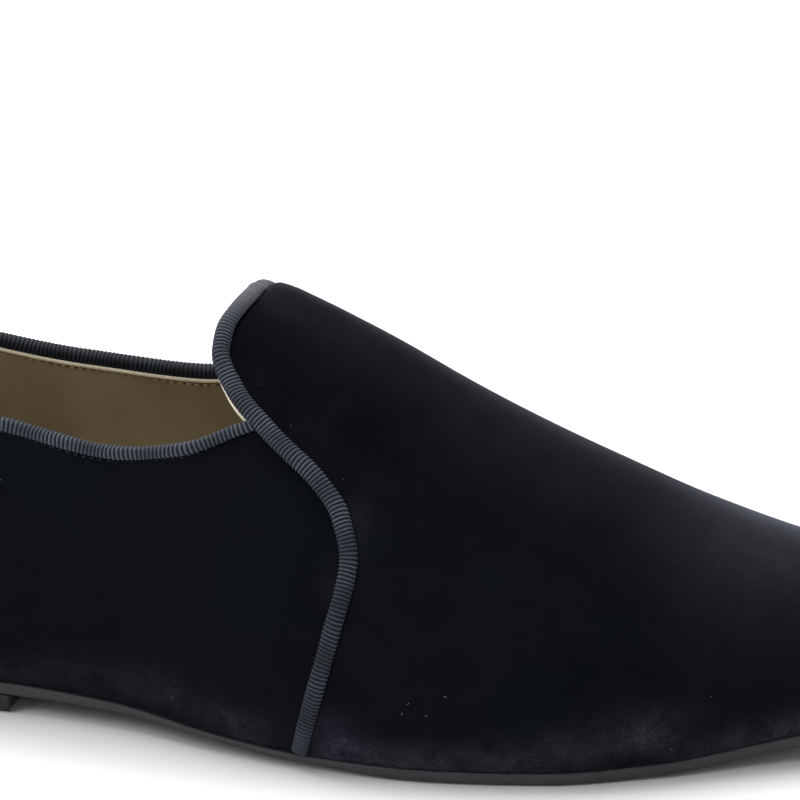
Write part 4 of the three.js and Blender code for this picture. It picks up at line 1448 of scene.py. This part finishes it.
@dataclass
class Underfoot:
    """Sock, sole and heel lift, each a stack of rings round the plan."""

    around: int = 720
    rings_out: int = 10
    chamfer: float = 0.4
    sole_profile: Profile = ((0.0, 0.0), (-0.03, 0.3), (-0.03, 0.7), (0.06, 0.95), (0.22, 1.0))
    lid_inset: float = 0.5
    lift_profile: Profile = (
        (0.8, 0.0, 0.0), (0.35, 0.0, 0.45), (0.05, 0.0, 1.1), (0.0, 0.5, -0.12), (0.12, 0.5, 0.0),
        (0.0, 0.5, 0.12), (0.0, 1.0, -0.5), (0.06, 1.0, -0.1), (0.3, 1.0, 0.0),
    )
    lift_gap: float = 0.12
    lift_around: int = 260
    breast_across: int = 60
    sock_over: float = 1.45
    sock_edge: float = 1.35
    sock_thick: float = 2.2
    sock_rings: int = 26
    sock_dish: float = 0.7

    def ring_object(self, name: str, rings: list[np.ndarray]) -> bpy.types.Object:
        """Rings from the middle of the underside out and back to the middle of the top.

        The first and last rings lie on the plan's middle line, so their two halves share vertices.
        """
        points = np.stack(rings)
        points = np.concatenate([points, points[:, :1]], axis=1)
        index = grid_index(points)
        index[:, -1] = index[:, 0]
        half = (points.shape[1] - 1) // 2
        for row in (0, -1):
            index[row, half + 1:] = index[row, : half][::-1]
        return to_object(name, points, index, uv=lengths_over(points))

    def rings(
        self, edge: np.ndarray, height: np.ndarray, shares: np.ndarray, crown: float
    ) -> list[np.ndarray]:
        """Rings between the middle line and an edge ring.

        Args:
            edge: the outer ring.
            height: height of the face at each place of it.
            shares: share of the way out of each ring.
            crown: how far the face dips between its middle and its edge.

        Returns:
            One ring a share.
        """
        spine = edge.copy()
        spine[:, 1] = (edge[:, 1] + np.concatenate([edge[:1, 1], edge[:0:-1, 1]])) / 2
        rings = []
        for share in shares:
            ring = spine + (edge - spine) * share
            ring[:, 2] = height - crown * (1 - share**2)
            rings.append(ring)
        return rings

    def turns(self) -> np.ndarray:
        """Turns right round the plan, evenly."""
        return np.linspace(0.0, 2 * np.pi, self.around, endpoint=False)

    def sole(self) -> bpy.types.Object:
        """Thin sole with a feathered waist and a fine bevel under its edge."""
        turn = self.turns()
        x = station(turn)
        top = LAST.sole_top(x)
        under = top - SOLE
        share = LAST.section(x, "edge")
        foot = np.maximum(top - SOLE * share, under + self.chamfer)
        bottom = LAST.inset(turn, self.chamfer + FEATHER * (1 - share), under)
        out = np.linspace(0.0, 1.0, self.rings_out)
        rings = self.rings(bottom, under, out, 0.0)
        rings += [LAST.inset(turn, 0.5 * FEATHER * (1 - share) + 0.12, (under + foot) / 2 - 0.05 * share)]
        rings += [LAST.inset(turn, inset, foot + (top - foot) * up) for inset, up in self.sole_profile]
        rings += self.rings(LAST.inset(turn, self.lid_inset, top), top, out[::-1], 0.0)
        obj = self.ring_object("thin_sole", rings)
        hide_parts("outsole")
        return obj

    def lift(self) -> bpy.types.Object:
        """Low heel lift with a straight breast, bevelled at the floor and grooved between layers.

        Its plan follows the sole round the heel and crosses straight over at the breast.
        """
        breast = turn_at(HEEL_LENGTH)
        turn = np.linspace(-breast, breast, self.lift_around)
        ceiling = LAST.sole_top(station(turn)) - SOLE - self.lift_gap
        rings = []
        for inset, share, added in self.lift_profile:
            curve = LAST.inset(turn, inset, ceiling * share + added)
            cross = np.linspace(curve[-1], curve[0], self.breast_across)[1:-1]
            cross[:, 0] -= inset
            rings.append(np.concatenate([curve, cross]))
        underside, lid = (np.broadcast_to(ring.mean(axis=0), ring.shape) for ring in (rings[0], rings[-1]))
        grid = np.stack([underside * (1.0, 1.0, 0.0), *rings, lid])
        grid = np.concatenate([grid, grid[:, :1]], axis=1)
        index = grid_index(grid)
        index[:, -1] = index[:, 0]
        index[0, :] = index[0, 0]
        index[-1, :] = index[-1, 0]
        obj = to_object("heel_lift", grid, index, uv=lengths_over(grid))
        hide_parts("heel")
        return obj

    def sock(self) -> bpy.types.Object:
        """Leather sock over the insole, dished a little under the foot and rolled up at its edge."""
        turn = self.turns()
        low = LAST.feather(station(turn)) + self.sock_over
        high = low + self.sock_thick
        out = np.linspace(0.0, 1.0, self.sock_rings)
        edge = LAST.inset(turn, self.sock_edge + 0.4, high)
        rings = self.rings(LAST.inset(turn, self.sock_edge + 0.9, low), low, out[::5], 0.0)
        rings += [LAST.inset(turn, self.sock_edge, (low + high) / 2)]
        rings += self.rings(edge, high, out[::-1], self.sock_dish)
        obj = self.ring_object("leather_sock", rings)
        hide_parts("insole")
        return obj

    def build(self) -> None:
        """Makes and dresses the three pieces."""
        dress(self.sock(), SOCK_LEATHER.material())
        dress(self.sole(), SOLE_RUBBER.material())
        dress(self.lift(), HEEL_RUBBER.material())


@dataclass
class Studio:
    """White floor, soft light, and the camera at the photograph's angle."""

    azimuth: float = 14.0
    elevation: float = 17.5
    eye: tuple[float, float, float] = (0.3661, -1.0567, 0.4042)
    lens: float = 264.0
    sensor: float = 36.0
    near: float = 0.05
    far: float = 60.0
    floor_size: float = 14.0
    floor_under: float = 0.0002
    aim: tuple[float, float, float] = (0.1, 0.0, 0.04)
    overhead: tuple[float, float, float] = (-0.40, 0.45, 1.40)
    front: tuple[float, float, float] = (-0.80, -1.05, 1.10)
    sky_fade: tuple[float, ...] = (0.05, 0.40, 1.0, 0.34)
    far_glow: tuple[float, ...] = (0.65, 2.2, 0.0, 0.62)

    def camera(self) -> None:
        """Camera turned about the upright, tipped down, and level across."""
        azimuth, elevation = np.radians(self.azimuth), np.radians(self.elevation)
        level = np.cos(elevation)
        back = Vector((np.sin(azimuth) * level, -np.cos(azimuth) * level, np.sin(elevation)))
        right = Vector((np.cos(azimuth), np.sin(azimuth), 0.0))
        up = back.cross(right)
        data = bpy.data.cameras.new("camera")
        data.lens = self.lens
        data.sensor_width = self.sensor
        data.clip_start = self.near
        data.clip_end = self.far
        obj = bpy.data.objects.new("camera", data)
        axes = Matrix((right, up, back)).transposed().to_4x4()
        obj.matrix_world = Matrix.Translation(self.eye) @ axes
        bpy.context.scene.collection.objects.link(obj)
        bpy.context.scene.camera = obj

    def floor(self) -> None:
        """Flat white floor just under the shoe, which glows a little far off, past the lights' reach."""
        half = self.floor_size / 2
        mesh = bpy.data.meshes.new("floor")
        square = ((-half, -half), (half, -half), (half, half), (-half, half))
        corners = [(x, y, -self.floor_under) for x, y in square]
        mesh.from_pydata(corners, [], [(0, 1, 2, 3)])
        obj = bpy.data.objects.new("floor", mesh)
        bpy.context.scene.collection.objects.link(obj)
        paper = Shader(
            "white_paper",
            Base_Color=(0.93, 0.93, 0.93, 1.0),
            Roughness=0.9,
            Specular_IOR_Level=0.1,
            Emission_Color=(1.0, 1.0, 1.0, 1.0),
        )
        away = paper.node("VectorMath", {"operation": "LENGTH"}, Vector=paper.place()).outputs["Value"]
        mesh.materials.append(paper.finished(Emission_Strength=paper.spread(away, *self.far_glow)))

    def area(self, name: str, place: tuple[float, float, float], size: float, power: float) -> None:
        """A square soft light aimed at the shoe."""
        data = bpy.data.lights.new(name, "AREA")
        data.size = size
        data.energy = power
        obj = bpy.data.objects.new(name, data)
        aim = Vector(self.aim) - Vector(place)
        obj.matrix_world = Matrix.Translation(place) @ aim.to_track_quat("-Z", "Y").to_matrix().to_4x4()
        bpy.context.scene.collection.objects.link(obj)

    def light(self) -> None:
        """White surroundings, bright low down, a large soft light high behind, and a weak one in front."""
        world = bpy.data.worlds.new("surroundings")
        world.use_nodes = True
        tree = world.node_tree
        height = tree.nodes.new("ShaderNodeSeparateXYZ")
        tree.links.new(tree.nodes.new("ShaderNodeTexCoord").outputs["Generated"], height.inputs[0])
        fade = tree.nodes.new("ShaderNodeMapRange")
        for socket, value in zip(("From Min", "From Max", "To Min", "To Max"), self.sky_fade):
            fade.inputs[socket].default_value = value
        tree.links.new(height.outputs["Z"], fade.inputs["Value"])
        tree.links.new(fade.outputs[0], tree.nodes["Background"].inputs["Strength"])
        tree.nodes["Background"].inputs["Color"].default_value = (1.0, 1.0, 1.0, 1.0)
        bpy.context.scene.world = world
        self.area("overhead", self.overhead, 1.5, 40.0)
        self.area("front", self.front, 0.9, 6.0)

    def build(self) -> None:
        """Makes the camera, the floor and the lights."""
        bpy.context.scene.view_settings.view_transform = "Standard"
        self.camera()
        self.floor()
        self.light()


@dataclass(frozen=True)
class Lint:
    """A few specks of pale lint on the velvet, as places along the shoe and up from the sole."""

    lateral: tuple[tuple[float, float], ...] = (
        (201.0, 12.3), (194.5, 3.0), (146.0, 11.8), (147.2, 13.8), (150.5, 11.6), (154.0, 15.5),
        (98.5, 5.5), (61.5, 42.0), (112.5, 66.0), (120.0, 60.0), (131.0, 52.0),
    )
    over: float = 0.18
    size: Bead = (0.26, 0.045, 0.04)

    def build(self, stitching: Stitching) -> None:
        """Lays each speck on the lateral side at the girth whose height over the sole is wanted."""
        x, up = np.array(self.lateral).T
        turn = turn_at(x)
        girths = np.linspace(0.0, 1.0, 300)
        heights = LAST.point(turn[:, None], girths[None, :])[..., 2] - LAST.feather(x)[:, None]
        girth = girths[np.argmin(np.abs(heights - up[:, None]), axis=1)]
        front = np.where(turn > LAST.edge_turn(Side.LATERAL, girth), VAMP_STEP, 0.0)
        centres = LAST.offset(turn, girth, front + self.over)
        normal = LAST.normal(turn, girth)
        spin = np.arange(len(x)) * 2.4
        run = LAST.ahead(turn, girth)
        side = np.cross(normal, run)
        run = run * np.cos(spin)[:, None] + side * np.sin(spin)[:, None]
        specks = stitching.beads("lint_specks", centres, unit(run), normal, self.size)
        dress(specks, LINT.material())


def main() -> None:
    """Builds the studio and the shoe, piece by piece."""
    logging.basicConfig(level=logging.INFO, format="%(message)s")
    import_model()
    Studio().build()
    Underfoot().build()
    Lining().build()
    VelvetUpper().build()
    Tape().build()
    stitching = Stitching()
    stitching.build()
    Lint().build(stitching)


if __name__ == "__main__":
    main()
